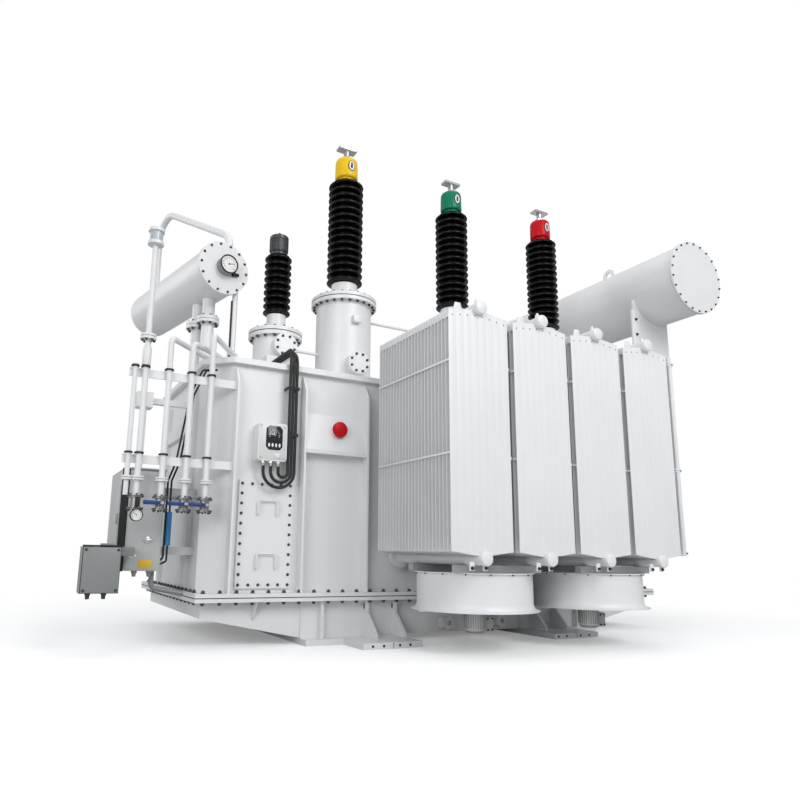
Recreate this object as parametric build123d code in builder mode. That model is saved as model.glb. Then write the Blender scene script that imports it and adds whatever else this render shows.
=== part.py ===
"""Oil-filled power transformer with radiators on one long side, three high-voltage bushings,
a neutral bushing, two conservators and a tap-changer drive on the left end.

Frame: origin on the ground under the middle of the tank, +X along the tank towards the main
conservator, +Y away from the radiators, +Z up. Millimetres.
"""
import os
from math import cos, radians, sin, sqrt

from build123d import *

os.makedirs("parts", exist_ok=True)

# Tank
tank_length = 4460
tank_width = 1800
tank_chamfer = 165
tank_wall = 12
flange_seat_z = 320
flange_plate = 30
flange_overhang_x = 70
flange_overhang_y = 120
cover_z = 2085
cover_thickness = 45
cover_overhang = 50

# Core and windings
active_end_gap = 830
active_side_gap = 300
active_height = 1700

# Lower tank
foot_plate = 45
tray_end_drop = 116
tray_end_run = 780
tray_rib_inset = 390
tray_rib_height = 140

# Stiffening ribs of the bell
rib_start_gap = 10
rib_end_gap = 235
rib_count = 8
rib_depth = 90
rib_thickness = 16
rib_top_gap = 30
rib_taper = 120
end_rib_y = 480
end_beam_z = 1620
end_beam_height = 110

# Feet
leg_inset = 544
foot_tongue_width = 245
foot_tongue_gap = 10
foot_tongue_overhang = 440
foot_slab_width = 310
foot_slab_overhang = 130
foot_bolt_overhang = 370
foot_bolt_diameter = 36
gusset_thickness = 25
gusset_head = 70
gusset_toe = 150
gusset_knee_drop = 95
gusset_shift = 110
web_thickness = 15

# Radiators
radiator_count = 4
radiator_start = 1320
radiator_pitch = 576.6
radiator_width = 520
radiator_wall_gap = 202.1
fin_count = 23
fin_pitch = 43.45
fin_thickness = 12
fin_bottom_z = 700
fin_top_z = 2365
fin_roof_rise = 30
fin_roof_flat = 80
header_size = 90
header_lift = 46
header_front_reach = 10
header_back_reach = 10
cap_diameter = 100
cap_length = 32
tie_bar_heights = (650, 1296)
tie_bar_width = 26
tie_bar_thickness = 6
radiator_pipe_diameter = 89
radiator_pipe_bend = 72
neck_straight = 10
neck_outlet_z = 1960
valve_flange_diameter = 170
valve_flange_thickness = 18
guard_width = 50
guard_thickness = 10
guard_stand_off = 30
guard_clamp = 60
guard_clamp_heights = (20, 690, 1600)

# Fans under the radiators
fan_bore = 832
fan_wall = 8
fan_lip_z = 556
fan_lip_width = 18
fan_flare_z = 347
fan_mouth_z = 287
fan_mouth_diameter = 940
fan_bar_width = 60
fan_motor_diameter = 150
fan_motor_length = 147
motor_box_width = 90
motor_box_depth = 65
motor_box_seat = 10
fan_hub_diameter = 190
fan_hub_z = 395
fan_hub_height = 90
fan_blade_count = 6
fan_blade_tip_gap = 18
fan_blade_chord = 150
fan_blade_thickness = 6
fan_blade_pitch = 32

# High-voltage bushings
hv_count = 3
hv_start = 1380
hv_end = 535
hv_row_inset = 605
turret_diameter = 520
turret_height = 830
turret_flange_diameter = 615
turret_flange_thickness = 35
collar_diameter = 250
collar_height = 165
shed_count = 15
shed_pitch = 71.8
shed_diameter = 342
shed_root_diameter = 282
cap_neck_diameter = 176
cap_neck_height = 45
hv_cap_diameter = 226
hv_cap_top_diameter = 200
hv_cap_height = 215
hv_cap_round = 28
terminal_post_diameter = 62
terminal_post_height = 105
terminal_pad = (190, 90, 24)
inspection_z = 2350
inspection_diameter = 200
inspection_reach = 60

# Neutral bushing
neutral_rib_gap = 30
neutral_turret_diameter = 390
neutral_turret_height = 400
neutral_flange_diameter = 474
neutral_collar_diameter = 170
neutral_collar_height = 165.5
neutral_shed_count = 9
neutral_shed_pitch = 64.5
neutral_shed_diameter = 246
neutral_shed_root_diameter = 196
neutral_cap_diameter = 176
neutral_cap_height = 190
neutral_pin_diameter = 16
neutral_pin_height = 45
neutral_port_z = 2420
neutral_port_diameter = 200

# Low-voltage bushings, behind the high-voltage row
lv_count = 3
lv_first_x = -600
lv_pitch = 600
lv_row_inset = 280
lv_flange = (260, 20)
lv_neck = (140, 40)
lv_shed_diameters = (210, 190, 170)
lv_root_diameters = (120, 110, 100)
lv_shed_pitch = 80
lv_shed_rise = 30
lv_stud = (44, 100)

# Tap changer head on the cover
head_end_gap = 480
head_side_gap = 470
head_diameter = 640
head_height = 130
head_base_height = 50
head_step = 40
head_crown = 20

# Main conservator
conservator_stand_off = 620
conservator_z = 3670
conservator_diameter = 770
conservator_length = 2800
conservator_wall = 6
conservator_rim = 18
conservator_plate = 20
conservator_post_inset = 20
conservator_post_thickness = 20
conservator_post_left = 240
conservator_post_right = 790
conservator_post_knees = (2050, 2300, 2500)
conservator_saddle_drop = 150

# Tap changer conservator
small_end_gap = 152
small_side_gap = 470
small_z = 3053
small_diameter = 436
small_flange_diameter = 466
small_length = 1530
small_turn = 12
small_wall = 5
small_post_diameter = 108
small_post_runs = (230, 430)
small_dish = 90
small_dish_shares = (0.9, 0.55)
vent_diameter = 60
vent_bend = 130
vent_front_run = 60
vent_front_side = 80
vent_front_rise = 130
vent_rear_run = 1480
vent_rear_rise = 940
gauge_diameter = 160
gauge_depth = 70
gauge_offset = (8, 12)

# Pipe rack at the left end
rack_stand_off = 70
rack_pipe_reach = (575, 505, 340, 178, 30)
rack_pipe_diameter = 42
rack_pipe_bend = 42
rack_thin_pipe_diameter = 34
rack_bar_heights = (1290, 1905)
rack_bar_reach = 612
rack_bar_height = 60
rack_bar_thickness = 12
rack_seat_gap = 0.3
valve_z = 990
valve_body_diameter = 66
valve_body_length = 96
valve_disc_diameter = 108
valve_disc_thickness = 14
lever_length = 124
lever_width = 22
lever_thickness = 8
lever_hub_diameter = 34
lever_gap = 6
lever_play = 0.3
rack_gauge_diameter = 80
rack_gauge_depth = 35
rack_gauge_stem = 18
rack_gauge_reach = 55
rack_gauge_drop = 90
breather_pipe_top_z = 2880
breather_diameter = 90
breather_height = 110
riser_top_z = (2190, 2175, 2260)
riser_foot = ((50, 340), (110, 200), (270, 380))

# Drive cabinet and its door
cabinet_stand_off = 262
cabinet_depth = 250
cabinet_inset = 180
cabinet_width = 640
cabinet_z = 526
cabinet_height = 719
cabinet_wall = 3
door_depth = 36
door_gasket_gap = 6
door_round = 12
hinge_diameter = 16
hinge_offset = 14
hinge_knuckle = 30
hinge_play = 0.5
hinge_leaf = 24
bracket_height = 60
bracket_inset = 100

# Junction box
junction_reach = 810
junction_overhang = 90
junction_size = (240, 170, 300)
junction_z = 390
junction_arm = 25

# Tap-changer drive shaft, from the cabinet up to its bevel gear and across to the tank
shaft_size = 46
shaft_inset = 290
shaft_x_inset = 98
gear_z = 1820
gear_size = 120

# Front-wall fittings
hatch_side_gap = 62.5
hatch_z = 805
hatch_height = 790
hatch_thickness = 20
indicator_z = 1490
indicator_size = (230, 290)
indicator_depth = 110
indicator_round = 24
pocket_bottom_z = 1440
pocket_top_z = 1765
pocket_depth = 85
pocket_lip = 30
pocket_top_depth = 15
red_cap_offset = 12.5
red_cap_z = 1640
red_cap_diameter = 112
red_cap_thickness = 26
red_stub_length = 55
red_stub_diameter = 90

# Cables from the temperature indicator
cable_diameter = 24
cable_pitch = 27
cable_gland_pitch = 60
cable_loop_z = (1150, 1190, 1230)
cable_rib_gap = 87
cable_loop_straight = 2
cable_cover_gap = 35
cable_box_side = 165
cable_box_front = 265
cable_box_z = 2190
cable_box_width = 120

# Derived places
half_length = tank_length / 2
half_width = tank_width / 2
front_wall_y = -half_width
flange_joint_z = flange_seat_z + flange_plate
bell_base_z = flange_joint_z + flange_plate
bell_height = cover_z - bell_base_z
cover_top_z = cover_z + cover_thickness
wall_straight = half_length - tank_chamfer
active_length = tank_length - 2 * active_end_gap
active_width = tank_width - 2 * active_side_gap
tray_flat_length = tank_length - 2 * tray_end_run
tray_rib_x = half_length - tray_rib_inset
leg_x = tray_flat_length / 2 - leg_inset
rib_pitch = (2 * wall_straight - rib_start_gap - rib_end_gap) / (rib_count - 1)
rib_places = [rib_start_gap - wall_straight + i * rib_pitch for i in range(rib_count)]
radiator_depth = (fin_count - 1) * fin_pitch + fin_thickness
radiator_back_y = front_wall_y - radiator_wall_gap
radiator_front_y = radiator_back_y - radiator_depth
radiator_first_x = -half_length + radiator_start
fan_y = (radiator_front_y + radiator_back_y) / 2
header_top_z = fin_top_z + header_lift
header_bottom_z = fin_bottom_z - header_lift
turret_flange_z = cover_top_z + turret_height
bushing_seat_z = turret_flange_z + 2 * turret_flange_thickness
neutral_flange_z = cover_top_z + neutral_turret_height
hv_first_x = -half_length + hv_start
hv_pitch = (tank_length - hv_start - hv_end) / (hv_count - 1)
hv_row_y = front_wall_y + hv_row_inset
neutral_x = rib_places[1] - neutral_rib_gap
lv_row_y = half_width - lv_row_inset
head_x = -half_length + head_end_gap
head_y = half_width - head_side_gap
conservator_x = half_length + conservator_stand_off
conservator_post_y = half_width - conservator_post_inset
small_x = -half_length + small_end_gap
small_y = front_wall_y + small_side_gap
rack_y = front_wall_y - rack_stand_off
rack_pipe_x = [-half_length - reach for reach in rack_pipe_reach]
rack_bar_left = -half_length - rack_bar_reach
cabinet_back_x = -half_length - cabinet_stand_off
cabinet_front_y = front_wall_y + cabinet_inset
junction_x = -half_length - junction_reach
junction_y = front_wall_y - junction_overhang
hatch_width = rib_pitch - 2 * hatch_side_gap
hatch_x = (rib_places[0] + rib_places[1]) / 2
indicator_x = hatch_x
cable_riser_x = rib_places[1] - cable_rib_gap
cable_box_x = neutral_x - cable_box_side
cable_box_y = hv_row_y - cable_box_front


def write(piece, label):
    """Label a finished piece and write it as its own file."""
    piece.part.label = label
    export_step(piece.part, f"parts/{label}.step")


def at_y(y):
    """Upright plane across the tank at the given Y, drawn in X and Z, facing the radiators."""
    return Plane.XZ.offset(-y)


def at_x(x):
    """Upright plane along the tank's end at the given X, drawn in Y and Z."""
    return Plane.YZ.offset(x)


def prism(plane, points, depth):
    """A flat outline given depth along its plane's normal."""
    with BuildPart() as body:
        with BuildSketch(plane):
            with BuildLine():
                Polyline(*points, close=True)
            make_face()
        extrude(amount=depth)
    return body.part


def block(low, high):
    """A plain block between two opposite corners."""
    size = [b - a for a, b in zip(low, high)]
    middle = [(a + b) / 2 for a, b in zip(low, high)]
    with BuildPart(Plane(middle)) as body:
        Box(*size)
    return body.part


def disc(origin, direction, diameter, thickness):
    """A round plate or rod from its seat along a direction."""
    with BuildPart() as body:
        with BuildSketch(Plane(origin, z_dir=direction)):
            Circle(diameter / 2)
        extrude(amount=thickness)
    return body.part


def turned(points, x, y):
    """A piece turned about the upright axis through x, y, from its radius and height points."""
    with BuildPart() as body:
        with BuildSketch(Plane((x, y, 0), x_dir=(1, 0, 0), z_dir=(0, -1, 0))):
            with BuildLine():
                Polyline(*points, close=True)
            make_face()
        revolve(axis=Axis((x, y, 0), (0, 0, 1)))
    return body.part


def pipe(points, diameter, bend):
    """A round bar or pipe along straight runs joined by tangent bends."""
    with BuildPart() as body:
        with BuildLine() as route:
            if len(points) > 2:
                FilletPolyline(*points, radius=bend)
            else:
                Line(*points)
        with BuildSketch(Plane(route.line @ 0, z_dir=route.line % 0)):
            Circle(diameter / 2)
        sweep(path=route.line)
    return body.part


def tank_outline(margin):
    """Corner points of the chamfered tank plan, grown outwards by a margin."""
    x = half_length + margin
    y = half_width + margin
    cut = tank_chamfer + margin * (2 - sqrt(2))
    return [
        (-x, -y + cut), (-x + cut, -y), (x - cut, -y), (x, -y + cut),
        (x, y - cut), (x - cut, y), (-x + cut, y), (-x, y - cut),
    ]


def bell_ring():
    """The welded side wall of the bell all the way round."""
    with BuildPart() as ring:
        with BuildSketch(Plane.XY.offset(bell_base_z)):
            with BuildLine():
                Polyline(*tank_outline(0), close=True)
            make_face()
            with BuildLine():
                Polyline(*tank_outline(-tank_wall), close=True)
            make_face(mode=Mode.SUBTRACT)
        extrude(amount=bell_height)
    return ring.part


def flange_ring(z):
    """A flat flange plate round the tank at a height."""
    with BuildPart() as ring:
        with BuildSketch(Plane.XY.offset(z)):
            Rectangle(tank_length + 2 * flange_overhang_x, tank_width + 2 * flange_overhang_y)
            with BuildLine():
                Polyline(*tank_outline(-tank_wall), close=True)
            make_face(mode=Mode.SUBTRACT)
        extrude(amount=flange_plate)
    return ring.part


# Lower tank, a trough whose ends sweep up to the flange
tray_outline = [
    (-half_length, flange_seat_z),
    (-half_length, flange_seat_z - tray_end_drop),
    (-tray_flat_length / 2, foot_plate),
    (tray_flat_length / 2, foot_plate),
    (half_length, flange_seat_z - tray_end_drop),
    (half_length, flange_seat_z),
]
with BuildPart() as lower_tank:
    with BuildSketch(at_y(front_wall_y)):
        with BuildLine():
            Polyline(*tray_outline, close=True)
        make_face()
    extrude(amount=-tank_width)
    offset(amount=-tank_wall, openings=lower_tank.faces().sort_by(Axis.Z)[-1])
    add(flange_ring(flange_seat_z))
    for rib_x in (-tray_rib_x, tray_rib_x):
        for side in (-1, 1):
            wall_y = side * half_width
            edge_y = side * (half_width + rib_depth)
            rib_foot_z = flange_seat_z - tray_rib_height
            add(prism(
                at_x(rib_x - rib_thickness / 2),
                [(wall_y, flange_seat_z), (edge_y, flange_seat_z), (wall_y, rib_foot_z)],
                rib_thickness,
            ))
write(lower_tank, "lower_tank")

with BuildPart() as bell_flange:
    add(flange_ring(flange_joint_z))
write(bell_flange, "bell_flange")


def wall_rib(x, side):
    """An upright flat bar on a long wall, tapered at its top."""
    wall_y = side * half_width
    edge_y = side * (half_width + rib_depth)
    top = cover_z - rib_top_gap
    return prism(
        at_x(x - rib_thickness / 2),
        [(wall_y, bell_base_z), (edge_y, bell_base_z), (edge_y, top - rib_taper),
         (wall_y + side * rib_thickness, top), (wall_y, top)],
        rib_thickness,
    )


for wall_name, side in (("front_wall", -1), ("rear_wall", 1)):
    with BuildPart() as long_wall:
        add(bell_ring())
        with Locations((0, side * half_width, bell_base_z + bell_height / 2)):
            Box(2 * wall_straight, half_width, bell_height, mode=Mode.INTERSECT)
        for rib_x in rib_places:
            add(wall_rib(rib_x, side))
    write(long_wall, wall_name)

for wall_name, side, beam_reach in (
    ("left_end_wall", -1, end_rib_y),
    ("right_end_wall", 1, conservator_post_y),
):
    with BuildPart() as end_wall:
        add(bell_ring())
        with Locations((side * (wall_straight + half_length), 0, bell_base_z + bell_height / 2)):
            Box(2 * half_length, 2 * tank_width, bell_height, mode=Mode.INTERSECT)
        rib_edge = side * (half_length + flange_overhang_x / 2)
        for rib_y in (-end_rib_y, end_rib_y):
            add(block(
                (min(side * half_length, rib_edge), rib_y - rib_thickness / 2, bell_base_z),
                (max(side * half_length, rib_edge), rib_y + rib_thickness / 2, cover_z - rib_taper),
            ))
        add(block(
            (min(side * half_length, rib_edge), -beam_reach, end_beam_z),
            (max(side * half_length, rib_edge), beam_reach, end_beam_z + end_beam_height),
        ))
    write(end_wall, wall_name)

# Plain block standing for the core, windings and oil, on the lower tank's floor
with BuildPart() as active_part:
    floor_z = foot_plate + tank_wall
    add(block(
        (-active_length / 2, -active_width / 2, floor_z),
        (active_length / 2, active_width / 2, floor_z + active_height),
    ))
write(active_part, "active_part")

with BuildPart() as tank_cover:
    with BuildSketch(Plane.XY.offset(cover_z)):
        with BuildLine():
            Polyline(*tank_outline(cover_overhang), close=True)
        make_face()
    extrude(amount=cover_thickness)
write(tank_cover, "tank_cover")


# Feet: a slab under the tank at each side, with tongues and gussets front and rear
def leg(side, shift):
    """A pair of feet left (-1) or right (1) of the middle, its gussets shifted along the plates."""
    tongues = (leg_x - foot_tongue_width - foot_tongue_gap / 2, leg_x + foot_tongue_gap / 2)
    with BuildPart() as body:
        slab_in = leg_x + foot_tongue_gap / 2 + foot_tongue_width
        slab_out = slab_in + foot_slab_width
        with BuildSketch():
            with Locations((side * (slab_out + tongues[0]) / 2, 0)):
                Rectangle(slab_out - tongues[0], 2 * (half_width + foot_slab_overhang))
            for start in tongues:
                with Locations((side * (start + foot_tongue_width / 2), 0)):
                    Rectangle(foot_tongue_width, 2 * (half_width + foot_tongue_overhang))
            bolt_y = half_width + foot_bolt_overhang
            for start in tongues:
                for y in (-bolt_y, bolt_y):
                    with Locations((side * (start + foot_tongue_width / 2), y)):
                        Circle(foot_bolt_diameter / 2, mode=Mode.SUBTRACT)
        extrude(amount=foot_plate)
        for end in (-1, 1):
            wall_y = end * half_width
            head_y_edge = end * (half_width + gusset_head)
            toe_y = end * (half_width + gusset_head + gusset_toe)
            for start in tongues:
                gusset_x = side * (start + foot_tongue_width / 2) + shift
                add(prism(
                    at_x(gusset_x - gusset_thickness / 2),
                    [(wall_y, foot_plate), (toe_y, foot_plate), (toe_y, foot_plate + gusset_thickness),
                     (head_y_edge, flange_seat_z - gusset_knee_drop), (head_y_edge, flange_seat_z),
                     (wall_y, flange_seat_z)],
                    gusset_thickness,
                ))
            outer_x = side * (slab_in + foot_slab_width / 2)
            add(block(
                (outer_x - gusset_thickness / 2, min(wall_y, head_y_edge), foot_plate),
                (outer_x + gusset_thickness / 2, max(wall_y, head_y_edge), flange_seat_z),
            ))
            web_y = wall_y + end * web_thickness
            add(block(
                (min(side * tongues[0], side * slab_out), min(wall_y, web_y), foot_plate),
                (max(side * tongues[0], side * slab_out), max(wall_y, web_y), flange_seat_z),
            ))
    return body.part


with BuildPart() as feet:
    add(leg(-1, gusset_shift))
    add(leg(1, 0))
write(feet, "feet")


# Radiators
def radiator(x):
    """A stack of pressed fins on an upper and a lower header, from its left edge."""
    middle = x + radiator_width / 2
    right = x + radiator_width
    flat = fin_roof_flat / 2
    fin_outline = [
        (x, fin_bottom_z), (middle - flat, fin_bottom_z - fin_roof_rise),
        (middle + flat, fin_bottom_z - fin_roof_rise), (right, fin_bottom_z),
        (right, fin_top_z), (middle + flat, fin_top_z + fin_roof_rise),
        (middle - flat, fin_top_z + fin_roof_rise), (x, fin_top_z),
    ]
    with BuildPart() as body:
        for i in range(fin_count):
            add(prism(at_y(radiator_front_y + i * fin_pitch), fin_outline, -fin_thickness))
        with BuildSketch(at_y(radiator_front_y - header_front_reach)):
            with Locations((middle, header_top_z), (middle, header_bottom_z)):
                RegularPolygon(header_size / 2, 8, major_radius=False, rotation=22.5)
        extrude(amount=-(header_front_reach + radiator_depth + header_back_reach))
    return body.part


radiator_lefts = [radiator_first_x + i * radiator_pitch for i in range(radiator_count)]
radiator_middles = [x + radiator_width / 2 for x in radiator_lefts]
for i, left in enumerate(radiator_lefts):
    with BuildPart() as stack:
        add(radiator(left))
    write(stack, f"radiator_{i + 1}")

with BuildPart() as radiator_fittings:
    for middle in radiator_middles:
        for z in (header_bottom_z, header_top_z):
            seat = (middle, radiator_front_y - header_front_reach, z)
            add(disc(seat, (0, -1, 0), cap_diameter, cap_length))
    for left in radiator_lefts:
        for edge in (left - tie_bar_thickness, left + radiator_width):
            for height in tie_bar_heights:
                z = fin_bottom_z + height
                add(block(
                    (edge, radiator_front_y, z - tie_bar_width / 2),
                    (edge + tie_bar_thickness, radiator_back_y, z + tie_bar_width / 2),
                ))
    last_edge = radiator_lefts[-1] + radiator_width
    guard_x = last_edge + guard_stand_off
    add(block(
        (guard_x, radiator_front_y, fin_bottom_z),
        (guard_x + guard_thickness, radiator_front_y + guard_width, fin_top_z),
    ))
    for height in guard_clamp_heights:
        z = fin_bottom_z + height
        add(block(
            (last_edge, radiator_front_y, z),
            (guard_x, radiator_front_y + guard_width, z + guard_clamp),
        ))
write(radiator_fittings, "radiator_fittings")

header_end_y = radiator_back_y + header_back_reach
neck_y = header_end_y + radiator_pipe_bend + neck_straight
neck_valve_z = (neck_outlet_z + header_top_z) / 2
with BuildPart() as radiator_pipes:
    for middle in radiator_middles:
        add(pipe(
            [(middle, header_end_y, header_top_z), (middle, neck_y, header_top_z),
             (middle, neck_y, neck_outlet_z), (middle, front_wall_y, neck_outlet_z)],
            radiator_pipe_diameter, radiator_pipe_bend,
        ))
        add(disc(
            (middle, neck_y, neck_valve_z), (0, 0, 1),
            valve_flange_diameter, 2 * valve_flange_thickness,
        ))
        add(pipe(
            [(middle, header_end_y, header_bottom_z), (middle, front_wall_y, header_bottom_z)],
            radiator_pipe_diameter, radiator_pipe_bend,
        ))
        add(disc(
            (middle, header_end_y + radiator_pipe_bend, header_bottom_z), (0, 1, 0),
            valve_flange_diameter, 2 * valve_flange_thickness,
        ))
write(radiator_pipes, "radiator_pipes")


# Fans
fan_places = [
    (radiator_middles[0] + radiator_middles[1]) / 2,
    (radiator_middles[2] + radiator_middles[3]) / 2,
]


def fan_cowl(x):
    """A short duct with a turned-out lip above and a flared mouth below."""
    inner = fan_bore / 2
    outer = inner + fan_wall
    mouth = fan_mouth_diameter / 2
    return turned(
        [(inner, fan_lip_z), (outer + fan_lip_width, fan_lip_z),
         (outer + fan_lip_width, fan_lip_z - fan_wall),
         (outer, fan_lip_z - fan_wall), (outer, fan_flare_z), (mouth, fan_mouth_z + fan_wall),
         (mouth, fan_mouth_z), (mouth - fan_lip_width, fan_mouth_z), (inner, fan_flare_z)],
        x, fan_y,
    )


motor_bar_z = fan_mouth_z - fan_wall
for i, fan_x in enumerate(fan_places):
    with BuildPart() as cowl:
        add(fan_cowl(fan_x))
    write(cowl, f"fan_cowl_{i + 1}")

    box_x = fan_x + fan_motor_diameter / 2 - motor_box_seat
    with BuildPart() as motor:
        add(disc((fan_x, fan_y, motor_bar_z), (0, 0, -1), fan_motor_diameter, fan_motor_length))
        add(block(
            (fan_x - fan_mouth_diameter / 2, fan_y - fan_bar_width / 2, motor_bar_z),
            (fan_x + fan_mouth_diameter / 2, fan_y + fan_bar_width / 2, fan_mouth_z),
        ))
        add(block(
            (box_x, fan_y - motor_box_width / 2, motor_bar_z - fan_motor_length),
            (box_x + motor_box_depth, fan_y + motor_box_width / 2, motor_bar_z - fan_motor_length / 3),
        ))
        add(disc((fan_x, fan_y, fan_mouth_z), (0, 0, 1), fan_hub_diameter / 3, fan_hub_z - fan_mouth_z))
        add(disc((fan_x, fan_y, fan_hub_z), (0, 0, 1), fan_hub_diameter, fan_hub_height))
        blade_reach = fan_bore / 2 - fan_blade_tip_gap
        for step in range(fan_blade_count):
            turn = radians(360 / fan_blade_count * step)
            tilt = radians(fan_blade_pitch)
            blade_plane = Plane(
                (fan_x, fan_y, fan_hub_z + fan_hub_height / 2),
                x_dir=(cos(turn), sin(turn), 0),
                z_dir=(sin(tilt) * sin(turn), -sin(tilt) * cos(turn), cos(tilt)),
            )
            with BuildSketch(blade_plane):
                with Locations(((blade_reach + fan_hub_diameter / 3) / 2, 0)):
                    Rectangle(blade_reach - fan_hub_diameter / 3, fan_blade_chord)
            extrude(amount=fan_blade_thickness / 2, both=True)
    write(motor, f"fan_motor_{i + 1}")

with BuildPart() as fan_mounts:
    header_underside_z = header_bottom_z - header_size / 2
    for fan_x in fan_places:
        for offset_y in (-fan_bore / 3, fan_bore / 3):
            half_bar = radiator_pitch / 2 + header_size
            bar_y = fan_y + offset_y
            add(block(
                (fan_x - half_bar, bar_y - fan_bar_width / 2, fan_lip_z),
                (fan_x + half_bar, bar_y + fan_bar_width / 2, header_underside_z),
            ))
write(fan_mounts, "fan_mounts")


# High-voltage bushings
def turret(x, y, diameter, height, flange_diameter):
    """A round turret on the cover, with the paired bolted flanges on its top."""
    r = diameter / 2
    top = cover_top_z + height
    flange_r = flange_diameter / 2
    return turned(
        [(0, cover_top_z), (r, cover_top_z), (r, top), (flange_r, top),
         (flange_r, top + 2 * turret_flange_thickness), (0, top + 2 * turret_flange_thickness)],
        x, y,
    )


def shed_stack(x, y, z, count, pitch, diameter, root_diameter, collar, collar_height):
    """A ribbed insulator standing on its metal collar, from the collar's seat."""
    collar_r = collar / 2
    root_r = root_diameter / 2
    tip_r = diameter / 2
    base = z + collar_height
    profile = [(0, z + collar_height), (collar_r, base)]
    profile.append((root_r, base))
    for i in range(count):
        low = base + i * pitch
        profile.append((tip_r, low + 0.42 * pitch))
        profile.append((root_r, low + pitch))
    profile.append((0, base + count * pitch))
    return turned(profile, x, y)


hv_places = [hv_first_x + i * hv_pitch for i in range(hv_count)]
hv_stack_top = bushing_seat_z + collar_height + shed_count * shed_pitch
for i, hv_x in enumerate(hv_places):
    with BuildPart() as hv_turret:
        add(turret(hv_x, hv_row_y, turret_diameter, turret_height, turret_flange_diameter))
        add(disc((hv_x, hv_row_y, bushing_seat_z), (0, 0, 1), collar_diameter, collar_height))
        add(disc(
            (hv_x, hv_row_y, inspection_z), (0, -1, 0),
            inspection_diameter, turret_diameter / 2 + inspection_reach,
        ))
    write(hv_turret, f"hv_turret_{i + 1}")

    with BuildPart() as hv_insulator:
        add(shed_stack(
            hv_x, hv_row_y, bushing_seat_z, shed_count, shed_pitch,
            shed_diameter, shed_root_diameter, collar_diameter, collar_height,
        ))
    write(hv_insulator, f"hv_insulator_{i + 1}")

hv_cap_z = hv_stack_top + cap_neck_height
hv_cap_top_z = hv_cap_z + hv_cap_height
cap_r = hv_cap_diameter / 2
top_r = hv_cap_top_diameter / 2
neck_r = cap_neck_diameter / 2
for i, hv_x in enumerate(hv_places):
    with BuildPart() as hv_cap:
        add(turned(
            [(0, hv_stack_top), (neck_r, hv_stack_top), (neck_r, hv_cap_z), (cap_r, hv_cap_z),
             (top_r, hv_cap_top_z - hv_cap_round), (top_r - hv_cap_round, hv_cap_top_z), (0, hv_cap_top_z)],
            hv_x, hv_row_y,
        ))
    write(hv_cap, f"hv_cap_{i + 1}")

with BuildPart() as hv_terminals:
    for hv_x in hv_places:
        post_top = hv_cap_top_z + terminal_post_height
        add(disc((hv_x, hv_row_y, hv_cap_top_z), (0, 0, 1), terminal_post_diameter, terminal_post_height))
        pad_x, pad_y, pad_z = terminal_pad
        add(block(
            (hv_x - pad_x / 2, hv_row_y - pad_y / 2, post_top),
            (hv_x + pad_x / 2, hv_row_y + pad_y / 2, post_top + pad_z),
        ))
write(hv_terminals, "hv_terminals")

# Neutral bushing
neutral_seat_z = neutral_flange_z + 2 * turret_flange_thickness
neutral_stack_top = neutral_seat_z + neutral_collar_height + neutral_shed_count * neutral_shed_pitch
with BuildPart() as neutral_turret:
    add(turret(neutral_x, hv_row_y, neutral_turret_diameter, neutral_turret_height, neutral_flange_diameter))
    add(disc(
        (neutral_x, hv_row_y, neutral_seat_z), (0, 0, 1),
        neutral_collar_diameter, neutral_collar_height,
    ))
    add(disc(
        (neutral_x, hv_row_y, neutral_port_z), (0, -1, 0),
        neutral_port_diameter, neutral_turret_diameter / 2 + inspection_reach,
    ))
    add(block(
        (cable_box_x, cable_box_y, cable_box_z),
        (cable_box_x + cable_box_width, cable_box_y + cable_box_width, cable_box_z + cable_box_width),
    ))
write(neutral_turret, "neutral_turret")

with BuildPart() as neutral_insulator:
    add(shed_stack(
        neutral_x, hv_row_y, neutral_seat_z, neutral_shed_count, neutral_shed_pitch,
        neutral_shed_diameter, neutral_shed_root_diameter, neutral_collar_diameter, neutral_collar_height,
    ))
write(neutral_insulator, "neutral_insulator")

with BuildPart() as neutral_cap:
    add(disc((neutral_x, hv_row_y, neutral_stack_top), (0, 0, 1), neutral_cap_diameter, neutral_cap_height))
    add(disc((neutral_x, hv_row_y, neutral_stack_top), (0, 0, 1),
             neutral_pin_diameter, neutral_cap_height + neutral_pin_height))
write(neutral_cap, "neutral_cap")

# Low-voltage bushings and the tap changer head
lv_flange_r = lv_flange[0] / 2
lv_neck_r = lv_neck[0] / 2
lv_stud_r = lv_stud[0] / 2
with BuildPart() as lv_bushings:
    for i in range(lv_count):
        z = cover_top_z + lv_flange[1]
        profile = [(0, cover_top_z), (lv_flange_r, cover_top_z), (lv_flange_r, z), (lv_neck_r, z)]
        z += lv_neck[1]
        profile.append((lv_neck_r, z))
        for shed, root in zip(lv_shed_diameters, lv_root_diameters):
            profile.append((shed / 2, z + lv_shed_rise))
            z += lv_shed_pitch
            profile.append((root / 2, z))
        profile += [(lv_stud_r, z), (lv_stud_r, z + lv_stud[1]), (0, z + lv_stud[1])]
        add(turned(profile, lv_first_x + i * lv_pitch, lv_row_y))
write(lv_bushings, "lv_bushings")

with BuildPart() as tap_changer_head:
    r = head_diameter / 2
    z = cover_top_z
    add(turned(
        [(0, z), (r, z), (r, z + head_base_height), (r - head_step, z + head_base_height),
         (r - head_step, z + head_height - head_crown), (r - 2 * head_step, z + head_height),
         (0, z + head_height)],
        head_x, head_y,
    ))
write(tap_changer_head, "tap_changer_head")

# Main conservator: a shell closed by two bolted end plates, on two saddle posts
shell_half = conservator_length / 2 - conservator_plate
with BuildPart() as conservator_shell:
    with BuildSketch(at_y(-shell_half)):
        with Locations((conservator_x, conservator_z)):
            Circle(conservator_diameter / 2)
            Circle(conservator_diameter / 2 - conservator_wall, mode=Mode.SUBTRACT)
    extrude(amount=-2 * shell_half)
write(conservator_shell, "conservator_shell")

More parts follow.
